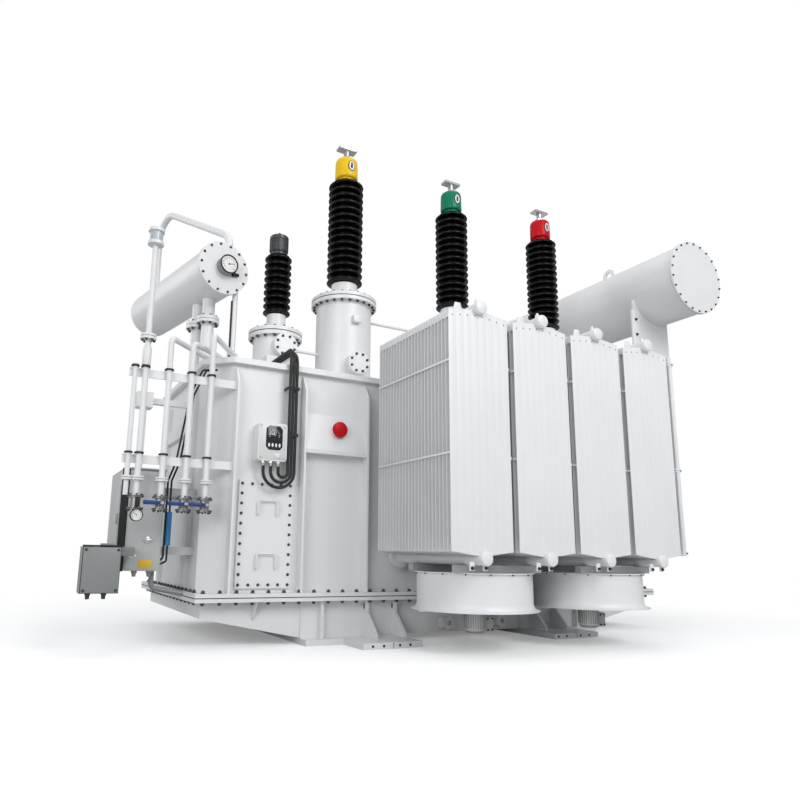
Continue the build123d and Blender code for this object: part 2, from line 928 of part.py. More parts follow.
with BuildPart() as conservator_ends:
    for side in (-1, 1):
        add(disc(
            (conservator_x, side * shell_half, conservator_z), (0, side, 0),
            conservator_diameter + 2 * conservator_rim, conservator_plate,
        ))
write(conservator_ends, "conservator_ends")

with BuildPart() as conservator_support:
    saddle_r = conservator_diameter / 2 + rack_seat_gap
    saddle_z = conservator_z - conservator_saddle_drop
    post_seat_x = half_length + flange_overhang_x / 2
    post_left = half_length + conservator_post_left
    post_right = half_length + conservator_post_right
    seat_knee, inner_knee, outer_knee = conservator_post_knees
    for post_y in (-conservator_post_y, conservator_post_y - conservator_post_thickness):
        with BuildSketch(at_y(post_y)):
            with BuildLine():
                Polyline(
                    (post_seat_x, end_beam_z), (post_right, outer_knee), (post_right, saddle_z),
                    (post_left, saddle_z), (post_left, inner_knee), (post_seat_x, seat_knee), close=True,
                )
            make_face()
            with Locations((conservator_x, conservator_z)):
                Circle(saddle_r, mode=Mode.SUBTRACT)
        extrude(amount=-conservator_post_thickness)
write(conservator_support, "conservator_support")

# Tap changer conservator, turned a little across the tank
small_axis = (-sin(radians(small_turn)), cos(radians(small_turn)), 0)
small_front = Plane(
    (small_x, small_y, small_z),
    x_dir=(cos(radians(small_turn)), sin(radians(small_turn)), 0),
    z_dir=(-small_axis[0], -small_axis[1], 0),
)
with BuildPart() as small_shell:
    with BuildSketch(small_front):
        Circle(small_diameter / 2)
        Circle(small_diameter / 2 - small_wall, mode=Mode.SUBTRACT)
    extrude(amount=-small_length)
write(small_shell, "oltc_conservator_shell")

with BuildPart() as small_front_end:
    with BuildSketch(small_front):
        Circle(small_flange_diameter / 2)
    extrude(amount=conservator_plate)
write(small_front_end, "oltc_conservator_front_end")

with BuildPart() as small_rear_end:
    rear = small_front.offset(-small_length)
    with BuildSketch(rear):
        Circle(small_diameter / 2)
    with BuildSketch(rear.offset(-small_dish / 2)):
        Circle(small_diameter / 2 * small_dish_shares[0])
    with BuildSketch(rear.offset(-small_dish)):
        Circle(small_diameter / 2 * small_dish_shares[1])
    loft(ruled=True)
write(small_rear_end, "oltc_conservator_rear_end")

with BuildPart() as level_gauge:
    with BuildSketch(small_front.offset(conservator_plate)):
        with Locations(gauge_offset):
            Circle(gauge_diameter / 2)
    extrude(amount=gauge_depth)
write(level_gauge, "oil_level_gauge")


def small_point(run, side=0):
    """Plan point a distance behind the small conservator's front end and to the right of its axis."""
    return (small_x + small_axis[0] * run + small_axis[1] * side,
            small_y + small_axis[1] * run - small_axis[0] * side)


with BuildPart() as small_support:
    for run in small_post_runs:
        px, py = small_point(run)
        add(disc((px, py, cover_top_z), (0, 0, 1), small_post_diameter, small_z - cover_top_z))
        add(disc((px, py, cover_top_z), (0, 0, 1), 2 * small_post_diameter, flange_plate))
    with BuildSketch(small_front):
        Circle(small_diameter / 2 + rack_seat_gap)
    extrude(amount=-small_length, mode=Mode.SUBTRACT)
write(small_support, "oltc_conservator_support")

with BuildPart() as vent_pipe:
    ax, ay = small_point(vent_front_run, vent_front_side)
    bx, by = small_point(vent_rear_run)
    top = small_z + small_diameter / 2
    add(pipe(
        [(ax, ay, small_z), (ax, ay, top + vent_front_rise),
         (bx, by, top + vent_rear_rise), (bx, by, small_z)],
        vent_diameter, vent_bend,
    ))
    with BuildSketch(small_front):
        Circle(small_diameter / 2 + rack_seat_gap)
    extrude(amount=-small_length, mode=Mode.SUBTRACT)
write(vent_pipe, "vent_pipe")

# Pipe rack
rack_bar_right = rib_places[0] - rib_thickness / 2
rack_bar_y = rack_y + rack_pipe_diameter / 2 + rack_seat_gap
with BuildPart() as rack_bars:
    for z in rack_bar_heights:
        add(block(
            (rack_bar_left, rack_bar_y, z - rack_bar_height / 2),
            (rack_bar_right, rack_bar_y + rack_bar_thickness, z + rack_bar_height / 2),
        ))
write(rack_bars, "rack_bars")

valve_top_z = valve_z + valve_body_length / 2
thin_pipe_y = rack_y + (rack_pipe_diameter - rack_thin_pipe_diameter) / 2
with BuildPart() as rack_pipes:
    add(pipe(
        [(rack_pipe_x[0], thin_pipe_y, valve_top_z),
         (rack_pipe_x[0], thin_pipe_y, rack_bar_heights[1] + rack_bar_height)],
        rack_thin_pipe_diameter, 0,
    ))
    add(pipe(
        [(rack_pipe_x[1], rack_y, valve_top_z), (rack_pipe_x[1], rack_y, breather_pipe_top_z)],
        rack_pipe_diameter, 0,
    ))
    add(disc((rack_pipe_x[1], rack_y, breather_pipe_top_z), (0, 0, 1), breather_diameter, breather_height))
    for x, top, inset in zip(rack_pipe_x[2:], riser_top_z, riser_foot):
        foot_x = -half_length + inset[0]
        foot_y = front_wall_y + inset[1]
        add(pipe(
            [(x, rack_y, valve_top_z), (x, rack_y, top),
             (foot_x, foot_y, top), (foot_x, foot_y, cover_top_z)],
            rack_pipe_diameter, rack_pipe_bend,
        ))
write(rack_pipes, "rack_pipes")

with BuildPart() as rack_valves:
    for x in rack_pipe_x[1:]:
        bottom = valve_z - valve_body_length / 2
        add(disc((x, rack_y, bottom), (0, 0, 1), valve_body_diameter, valve_body_length))
        add(disc((x, rack_y, bottom), (0, 0, 1), valve_disc_diameter, valve_disc_thickness))
        add(disc((x, rack_y, valve_top_z), (0, 0, -1), valve_disc_diameter, valve_disc_thickness))
        spindle_length = valve_disc_diameter / 2 + lever_gap
        add(disc((x, rack_y, valve_z), (0, -1, 0), lever_hub_diameter / 2, spindle_length))
write(rack_valves, "rack_valves")

lever_y = rack_y - valve_disc_diameter / 2 - lever_gap - lever_play
for i, x in enumerate(rack_pipe_x[2:]):
    with BuildPart() as lever:
        add(disc((x, lever_y, valve_z), (0, -1, 0), lever_hub_diameter, lever_thickness))
        add(block(
            (x - lever_length, lever_y - lever_thickness, valve_z - lever_width / 2),
            (x, lever_y, valve_z + lever_width / 2),
        ))
    write(lever, f"valve_lever_{i + 1}")

gauge_z = valve_z - rack_gauge_drop
with BuildPart() as pressure_gauge:
    gauge_x = rack_pipe_x[1]
    stem_y = rack_y - rack_gauge_reach
    add(disc(
        (gauge_x, rack_y, valve_z - valve_body_length / 2), (0, 0, -1),
        rack_thin_pipe_diameter, rack_gauge_drop + rack_gauge_stem - valve_body_length / 2,
    ))
    add(disc((gauge_x, rack_y, gauge_z), (0, -1, 0), rack_gauge_stem, rack_gauge_reach))
    add(disc((gauge_x, stem_y, gauge_z), (0, -1, 0), rack_gauge_diameter, rack_gauge_depth))
write(pressure_gauge, "pressure_gauge")

# Drive cabinet: an open-fronted box with a deep door on its outer face
cabinet_front_x = cabinet_back_x - cabinet_depth
cabinet_rear_y = cabinet_front_y + cabinet_width
cabinet_top_z = cabinet_z + cabinet_height
hinge_x = cabinet_front_x - door_gasket_gap / 2
hinge_y = cabinet_rear_y + hinge_offset
hinge_heights = (cabinet_z + cabinet_height / 5, cabinet_z + cabinet_height * 4 / 5)
with BuildPart() as drive_cabinet:
    add(block(
        (cabinet_front_x, cabinet_front_y, cabinet_z),
        (cabinet_back_x, cabinet_rear_y, cabinet_top_z),
    ))
    offset(amount=-cabinet_wall, openings=drive_cabinet.faces().sort_by(Axis.X)[0])
    for z in hinge_heights:
        for y in (cabinet_front_y + bracket_inset, cabinet_rear_y - bracket_inset - bracket_height):
            add(block(
                (cabinet_back_x, y, z - bracket_height / 2),
                (-half_length, y + bracket_height, z + bracket_height / 2),
            ))
    for z in hinge_heights:
        for start in (z - hinge_play - hinge_knuckle, z + hinge_knuckle + hinge_play):
            add(disc((hinge_x, hinge_y, start), (0, 0, 1), hinge_diameter, hinge_knuckle))
            add(block(
                (cabinet_front_x, cabinet_rear_y, start),
                (cabinet_front_x + hinge_leaf, hinge_y + hinge_diameter / 4, start + hinge_knuckle),
            ))
write(drive_cabinet, "drive_cabinet")

door_back_x = cabinet_front_x - door_gasket_gap
with BuildPart() as cabinet_door:
    add(block(
        (door_back_x - door_depth, cabinet_front_y, cabinet_z),
        (door_back_x, cabinet_rear_y, cabinet_top_z),
    ))
    fillet(cabinet_door.edges().filter_by(Axis.X), door_round)
    offset(amount=-cabinet_wall, openings=cabinet_door.faces().sort_by(Axis.X)[-1])
    for z in hinge_heights:
        add(disc((hinge_x, hinge_y, z), (0, 0, 1), hinge_diameter, hinge_knuckle))
        add(block(
            (door_back_x - hinge_leaf, cabinet_rear_y, z),
            (hinge_x, hinge_y + hinge_diameter / 4, z + hinge_knuckle),
        ))
write(cabinet_door, "cabinet_door")

jx, jy, jz = junction_size
arm_x = cabinet_front_x + 2 * junction_arm
with BuildPart() as junction_box:
    add(block((junction_x, junction_y, junction_z), (junction_x + jx, junction_y + jy, junction_z + jz)))
    add(block(
        (junction_x + jx, junction_y + jy - junction_arm, junction_z + jz - bracket_height),
        (arm_x, junction_y + jy, junction_z + jz),
    ))
    add(block(
        (arm_x - junction_arm, junction_y + jy, junction_z + jz - bracket_height),
        (arm_x, cabinet_front_y, junction_z + jz),
    ))
write(junction_box, "junction_box")

# Drive shaft: up from the cabinet to the bevel gear, then across to the tank
shaft_x = cabinet_front_x + shaft_x_inset
shaft_y = cabinet_front_y + shaft_inset
half_gear = gear_size / 2
half_shaft = shaft_size / 2
with BuildPart() as drive_shaft:
    add(block(
        (shaft_x - half_shaft, shaft_y - half_shaft, cabinet_top_z),
        (shaft_x + half_shaft, shaft_y + half_shaft, gear_z),
    ))
    add(block(
        (shaft_x - half_gear, shaft_y - half_gear, gear_z - half_gear),
        (shaft_x + half_gear, shaft_y + half_gear, gear_z + half_gear),
    ))
    add(block(
        (shaft_x, shaft_y - half_shaft, gear_z - half_shaft),
        (-half_length, shaft_y + half_shaft, gear_z + half_shaft),
    ))
write(drive_shaft, "drive_shaft")

# Front-wall fittings
with BuildPart() as hatch_cover:
    add(block(
        (hatch_x - hatch_width / 2, front_wall_y - hatch_thickness, hatch_z - hatch_height / 2),
        (hatch_x + hatch_width / 2, front_wall_y, hatch_z + hatch_height / 2),
    ))
write(hatch_cover, "hatch_cover")

indicator_w, indicator_h = indicator_size
with BuildPart() as temperature_indicator:
    add(block(
        (indicator_x - indicator_w / 2, front_wall_y - indicator_depth, indicator_z - indicator_h / 2),
        (indicator_x + indicator_w / 2, front_wall_y, indicator_z + indicator_h / 2),
    ))
    fillet(temperature_indicator.edges().filter_by(Axis.Y), indicator_round)
write(temperature_indicator, "temperature_indicator")

pocket_left = rib_places[1] + rib_thickness / 2
pocket_right = rib_places[2] - rib_thickness / 2
red_cap_x = (pocket_left + pocket_right) / 2 + red_cap_offset
stub_y = front_wall_y - pocket_top_depth
with BuildPart() as instrument_pocket:
    add(prism(
        at_x(pocket_left),
        [(front_wall_y, pocket_bottom_z), (front_wall_y - pocket_depth, pocket_bottom_z),
         (front_wall_y - pocket_depth, pocket_bottom_z + pocket_lip),
         (front_wall_y - pocket_top_depth, pocket_top_z),
         (front_wall_y, pocket_top_z)],
        pocket_right - pocket_left,
    ))
    add(disc((red_cap_x, stub_y, red_cap_z), (0, -1, 0), red_stub_diameter, red_stub_length))
write(instrument_pocket, "instrument_pocket")

with BuildPart() as red_cap:
    add(disc(
        (red_cap_x, stub_y - red_stub_length, red_cap_z), (0, -1, 0),
        red_cap_diameter, red_cap_thickness,
    ))
write(red_cap, "red_cap")

# Three cables loop down from the indicator and rise over the cover's edge to the terminal box
cable_y = front_wall_y - cover_overhang - cable_cover_gap
cable_end_z = cable_box_z + cable_box_width / 2
with BuildPart() as indicator_cables:
    for i, loop_z in enumerate(cable_loop_z):
        gland_x = indicator_x + (i - 1) * cable_gland_pitch
        riser_x = cable_riser_x - i * cable_pitch
        add(pipe(
            [(gland_x, cable_y, indicator_z - indicator_h / 2), (gland_x, cable_y, loop_z),
             (riser_x, cable_y, loop_z), (riser_x, cable_y, cable_end_z),
             (riser_x, cable_box_y, cable_end_z)],
            cable_diameter, (riser_x - gland_x - cable_loop_straight) / 2,
        ))
write(indicator_cables, "indicator_cables")
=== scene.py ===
"""Looks of an oil-filled power transformer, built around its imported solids."""

import logging
import math
from dataclasses import dataclass
from enum import Enum
from typing import Any, Iterable, Sequence

import bmesh
import bpy
from mathutils import Matrix, Vector


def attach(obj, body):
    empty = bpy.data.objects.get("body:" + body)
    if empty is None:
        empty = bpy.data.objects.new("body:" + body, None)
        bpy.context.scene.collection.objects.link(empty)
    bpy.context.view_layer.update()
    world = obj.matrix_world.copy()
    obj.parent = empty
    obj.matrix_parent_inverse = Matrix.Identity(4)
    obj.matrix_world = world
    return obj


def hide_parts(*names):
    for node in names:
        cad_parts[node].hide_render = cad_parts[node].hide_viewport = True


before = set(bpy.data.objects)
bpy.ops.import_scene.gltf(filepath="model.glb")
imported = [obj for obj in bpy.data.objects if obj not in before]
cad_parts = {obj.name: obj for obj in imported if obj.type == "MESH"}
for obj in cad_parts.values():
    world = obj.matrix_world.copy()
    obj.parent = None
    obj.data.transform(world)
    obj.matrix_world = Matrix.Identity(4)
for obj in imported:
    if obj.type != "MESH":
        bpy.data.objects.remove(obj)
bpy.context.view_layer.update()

LOG = logging.getLogger("transformer")
Triple = tuple[float, float, float]
Point = Triple
Colour = Triple
Profile = Sequence[tuple[float, float]]
UP: Point = (0, 0, 1)
DOWN: Point = (0, 0, -1)
FRONT: Point = (0, -1, 0)


class Body(Enum):
    """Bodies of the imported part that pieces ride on."""

    FIXED = "transformer"
    DOOR = "cabinet_door"
    LEVER_1 = "valve_lever_1"
    LEVER_2 = "valve_lever_2"
    LEVER_3 = "valve_lever_3"


class Slot(Enum):
    """Material slots of the record, named for each piece but not read by the script."""

    WHITE = "white_paint"
    TANK = "tank_paint"
    RADIATOR = "radiator_paint"
    GLAZE = "black_glaze"
    BLUE = "blue_grip"
    RUBBER = "black_rubber"
    RED = "red_paint"
    ALUMINIUM = "bare_aluminium"
    GAUGE = "gauge_black"
    GREY = "grey_paint"
    STEEL = "valve_steel"
    YELLOW = "yellow_paint"
    GREEN = "green_paint"
    CABINET = "cabinet_grey"
    FAN = "fan_grey"


class Term:
    """A shader socket that can be used in Python arithmetic."""

    def __init__(self, graph: "Graph", socket: Any) -> None:
        """Hold a socket of a graph."""
        self.graph = graph
        self.socket = socket

    def _maths(self, operation: str, first: Any, second: Any) -> "Term":
        """Add one Math node.

        Args:
            operation: the Math node's operation.
            first: left operand, a term or a number.
            second: right operand, a term or a number.

        Returns:
            The node's value as a new term.
        """
        return self.graph.node("ShaderNodeMath", {"operation": operation}, {0: first, 1: second})

    def __add__(self, other: Any) -> "Term":
        """Sum of two values."""
        return self._maths("ADD", self, other)

    def __radd__(self, other: Any) -> "Term":
        """Sum with a number on the left."""
        return self._maths("ADD", other, self)

    def __sub__(self, other: Any) -> "Term":
        """Difference of two values."""
        return self._maths("SUBTRACT", self, other)

    def __rsub__(self, other: Any) -> "Term":
        """Difference with a number on the left."""
        return self._maths("SUBTRACT", other, self)

    def __mul__(self, other: Any) -> "Term":
        """Product of two values."""
        return self._maths("MULTIPLY", self, other)


class Graph:
    """The node tree of one material."""

    def __init__(self, name: str) -> None:
        """Start an empty material."""
        self.material = bpy.data.materials.new(name)
        self.material.use_nodes = True
        self.tree = self.material.node_tree
        self.tree.nodes.clear()

    def node(self, kind: str, settings: dict[str, Any], inputs: dict[Any, Any], output: Any = 0) -> Term:
        """Add a node of any type.

        Args:
            kind: the node's type name.
            settings: properties to set first; "stops" sets a ramp's places and colours.
            inputs: socket name or number to a value or a term.
            output: name or number of the socket to return.

        Returns:
            The chosen output as a term.
        """
        made = self.tree.nodes.new(kind)
        for key, value in settings.items():
            if key == "stops":
                self._stops(made.color_ramp, value)
            else:
                setattr(made, key, value)
        for key, value in inputs.items():
            if isinstance(value, Term):
                self.tree.links.new(value.socket, made.inputs[key])
            else:
                made.inputs[key].default_value = value
        return Term(self, made.outputs[output])

    @staticmethod
    def _stops(ramp: Any, stops: Sequence[tuple[float, float]]) -> None:
        """Set a grey ramp's stops.

        Args:
            ramp: the node's colour ramp.
            stops: place and grey value of each stop.
        """
        while len(ramp.elements) < len(stops):
            ramp.elements.new(0.5)
        for element, (place, grey) in zip(ramp.elements, stops):
            element.position = place
            element.color = (grey, grey, grey, 1.0)

    def place(self) -> Term:
        """Object coordinates."""
        return self.node("ShaderNodeTexCoord", {}, {}, "Object")

    def noise(self, scale: float, detail: float = 3.0, stretch: Point = (1, 1, 1)) -> Term:
        """Cloudy noise over the object.

        Args:
            scale: cells per metre.
            detail: octaves.
            stretch: scale along each axis.

        Returns:
            Noise value from 0 to 1.
        """
        spot = self.node("ShaderNodeMapping", {}, {"Vector": self.place(), "Scale": stretch})
        return self.node("ShaderNodeTexNoise", {}, {"Vector": spot, "Scale": scale, "Detail": detail}, "Fac")

    def ramp(self, value: Term, stops: Sequence[tuple[float, float]]) -> Term:
        """A value put through a grey ramp.

        Args:
            value: what drives the ramp.
            stops: place and grey of each stop.

        Returns:
            The ramp's grey.
        """
        return self.node("ShaderNodeValToRGB", {"stops": stops}, {"Fac": value}, "Color")

    def blend(self, share: Any, first: Any, second: Any) -> Term:
        """Mix two colours.

        Args:
            share: how much of the second, from 0 to 1.
            first: colour or term.
            second: colour or term.

        Returns:
            The mixed colour.
        """
        return self.node(
            "ShaderNodeMix", {"data_type": "RGBA"}, {0: share, 6: _rgba(first), 7: _rgba(second)}, 2
        )

    def bump(self, height: Term, strength: float, depth: float) -> Term:
        """A normal from a height.

        Args:
            height: surface height.
            strength: share of the effect.
            depth: height in metres of a value of one.

        Returns:
            The bent normal.
        """
        return self.node(
            "ShaderNodeBump", {}, {"Strength": strength, "Distance": depth, "Height": height}, "Normal"
        )

    def surface(self, inputs: dict[str, Any]) -> bpy.types.Material:
        """Close the graph with a Principled shader.

        Args:
            inputs: shader socket to value or term.

        Returns:
            The finished material.
        """
        shader = self.node("ShaderNodeBsdfPrincipled", {}, inputs, "BSDF")
        self.node_out(shader)
        return self.material

    def node_out(self, shader: Term) -> None:
        """Link a shader to the material's output."""
        out = self.tree.nodes.new("ShaderNodeOutputMaterial")
        self.tree.links.new(shader.socket, out.inputs["Surface"])


def _rgba(colour: Any) -> Any:
    """A colour with its alpha, or the term as it is."""
    return colour if isinstance(colour, Term) else (*colour[:3], 1.0)


@dataclass(frozen=True)
class Paint:
    """Sprayed satin paint with orange peel, soft mottling and streaks and specks of dust."""

    name: str
    colour: Colour
    roughness: float = 0.38
    coat: float = 0.15
    mottle: float = 0.04
    grime: float = 0.10
    peel: float = 0.0002
    shine: float = 0.5
    soil: Colour = (0.80, 0.77, 0.72)

    def material(self) -> bpy.types.Material:
        """Build the node material.

        Returns:
            The painted-metal material.
        """
        g = Graph(self.name)
        cloud = g.noise(2.2, 4.0)
        streak = g.ramp(g.noise(7.0, 3.0, (1.0, 1.0, 0.12)), [(0.52, 0.0), (0.78, 1.0)])
        speck = g.ramp(g.noise(160.0, 2.0), [(0.66, 0.0), (0.74, 1.0)])
        dirt = streak * self.grime + speck * (self.grime * 0.5)
        dull = tuple(c * (1.0 - self.mottle * 2.2) for c in self.colour)
        soiled = tuple(c * k for c, k in zip(self.colour, self.soil))
        base = g.blend(dirt, g.blend(cloud, self.colour, dull), soiled)
        rough = self.roughness + (cloud - 0.5) * 0.12 + dirt * 0.3
        peel = g.noise(420.0, 2.0)
        normal = g.bump(peel + g.noise(9.0, 2.0) * 2.0, 0.35, self.peel)
        return g.surface({
            "Base Color": base, "Roughness": rough, "Normal": normal,
            "Coat Weight": self.coat, "Coat Roughness": 0.2, "Specular IOR Level": self.shine,
        })


@dataclass(frozen=True)
class Glaze:
    """Fired glaze of an insulator: dark, glossy and a little uneven."""

    name: str
    colour: Colour
    shine: float = 0.5

    def material(self) -> bpy.types.Material:
        """Build the node material.

        Returns:
            The glazed material.
        """
        g = Graph(self.name)
        flow = g.noise(14.0, 3.0, (1.0, 1.0, 0.4))
        dust = g.ramp(g.noise(60.0, 3.0), [(0.55, 0.0), (0.9, 1.0)])
        lighter = tuple(min(1.0, c * 2.0 + 0.003) for c in self.colour)
        base = g.blend(flow * 0.5 + dust * 0.2, self.colour, lighter)
        return g.surface({
            "Base Color": base, "Roughness": 0.07 + flow * 0.05 + dust * 0.08,
            "Normal": g.bump(flow, 0.2, 0.001), "Specular IOR Level": self.shine,
        })


@dataclass(frozen=True)
class Metal:
    """Bare or plated metal with fine brushing."""

    name: str
    colour: Colour
    roughness: float = 0.34
    stretch: Point = (1.0, 1.0, 0.08)

    def material(self) -> bpy.types.Material:
        """Build the node material.

        Returns:
            The metal material.
        """
        g = Graph(self.name)
        brush = g.noise(900.0, 2.0, self.stretch)
        cloud = g.noise(18.0, 3.0)
        dull = tuple(c * 0.72 for c in self.colour)
        return g.surface({
            "Base Color": g.blend(cloud, self.colour, dull), "Metallic": 1.0 - cloud * 0.12,
            "Roughness": self.roughness + (brush - 0.5) * 0.2 + (cloud - 0.5) * 0.15,
            "Normal": g.bump(brush, 0.3, 0.0002),
        })


@dataclass(frozen=True)
class Rubber:
    """Matt rubber or plastic sheath with a dusty bloom."""

    name: str
    colour: Colour
    roughness: float = 0.55

    def material(self) -> bpy.types.Material:
        """Build the node material.

        Returns:
            The rubber material.
        """
        g = Graph(self.name)
        bloom = g.ramp(g.noise(30.0, 4.0), [(0.45, 0.0), (0.85, 1.0)])
        grain = g.noise(700.0, 2.0)
        pale = tuple(c * 0.6 + 0.016 for c in self.colour)
        return g.surface({
            "Base Color": g.blend(bloom * 0.5, self.colour, pale),
            "Roughness": self.roughness + bloom * 0.15, "Normal": g.bump(grain, 0.3, 0.0003),
        })


WHITE: Colour = (0.80, 0.81, 0.82)


class Finishes:
    """Every finish on the object, built once."""

    def __init__(self) -> None:
        """Build the materials."""
        self.white = Paint("white_satin_paint", WHITE).material()
        self.tank = Paint("tank_satin_paint", (0.78, 0.79, 0.80), grime=0.16).material()
        self.radiator = Paint("radiator_dip_paint", WHITE, roughness=0.42, grime=0.12).material()
        self.pipe = Paint("pipe_paint", (0.79, 0.80, 0.81), 0.40, coat=0.08, peel=0.00008).material()
        self.glaze = Glaze("black_insulator_glaze", (0.0020, 0.0020, 0.0024), 0.24).material()
        self.brown = Glaze("brown_insulator_glaze", (0.09, 0.032, 0.018)).material()
        self.yellow = self.phase("yellow", (0.86, 0.56, 0.012), 0.28, 0.05, 0.25)
        self.green = self.phase("green", (0.004, 0.20, 0.11), 0.28, 0.05, 0.2)
        self.red = self.phase("red", (0.56, 0.004, 0.012), 0.30, 0.03, 0.15)
        self.dark_grey = Paint("dark_grey_paint", (0.045, 0.05, 0.055), 0.4, 0.2).material()
        self.cabinet = Paint("cabinet_grey_paint", (0.50, 0.51, 0.51), 0.36, 0.1).material()
        self.door = Paint("door_grey_paint", (0.54, 0.55, 0.55), 0.36, 0.1).material()
        self.box = Paint("junction_box_grey", (0.25, 0.26, 0.26), 0.4, 0.1).material()
        self.steel = Metal("zinc_plated_steel", (0.62, 0.60, 0.55)).material()
        self.aluminium = Metal("terminal_aluminium", (0.72, 0.72, 0.72), 0.28).material()
        self.blue = Rubber("blue_dipped_grip", (0.012, 0.045, 0.20), 0.3).material()
        self.rubber = Rubber("black_cable_sheath", (0.012, 0.012, 0.013)).material()
        self.gasket = Rubber("black_gasket", (0.010, 0.010, 0.011), 0.6).material()
        self.ivory = Rubber("dial_white_enamel", (0.80, 0.80, 0.78), 0.35).material()
        self.label = Paint("yellow_blank_plate", (0.75, 0.48, 0.03), 0.4, 0.1).material()
        self.core = Metal("core_steel", (0.20, 0.20, 0.21), 0.5).material()
        self.box_white = Paint("indicator_case_paint", (0.70, 0.71, 0.71), 0.36, 0.2).material()
        self.glass = Glaze("indicator_window_glass", (0.012, 0.013, 0.015)).material()
        self.gel = Glaze("breather_gel_glass", (0.36, 0.39, 0.42)).material()
        self.bolt = Metal("dark_zinc_bolts", (0.11, 0.11, 0.108), 0.46).material()
        self.valve = Metal("cast_valve_steel", (0.42, 0.42, 0.40), 0.40).material()
        self.hose = Rubber("blue_hose_sleeve", (0.02, 0.18, 0.42)).material()
        # The fan mounts' mid grey is painted shade: it stands in for the radiators' shadow over them. Its
        # grime streaks are dirt.
        self.mount = Paint("fan_mount_painted_shade_grey", (0.44, 0.45, 0.45), grime=0.2).material()
        self.motor = Paint("motor_grey_paint", (0.46, 0.46, 0.45), 0.45, 0.1, grime=0.2).material()

    @staticmethod
    def phase(name: str, colour: Colour, roughness: float, coat: float, shine: float) -> bpy.types.Material:
        """Build the clean paint of one phase's cap.

        Args:
            name: the colour's name.
            colour: the paint's colour.
            roughness: how matt it is.
            coat: weight of its clear coat.
            shine: strength of its reflections.

        Returns:
            The paint.
        """
        return Paint(f"{name}_phase_paint", colour, roughness, coat, grime=0.05, shine=shine).material()


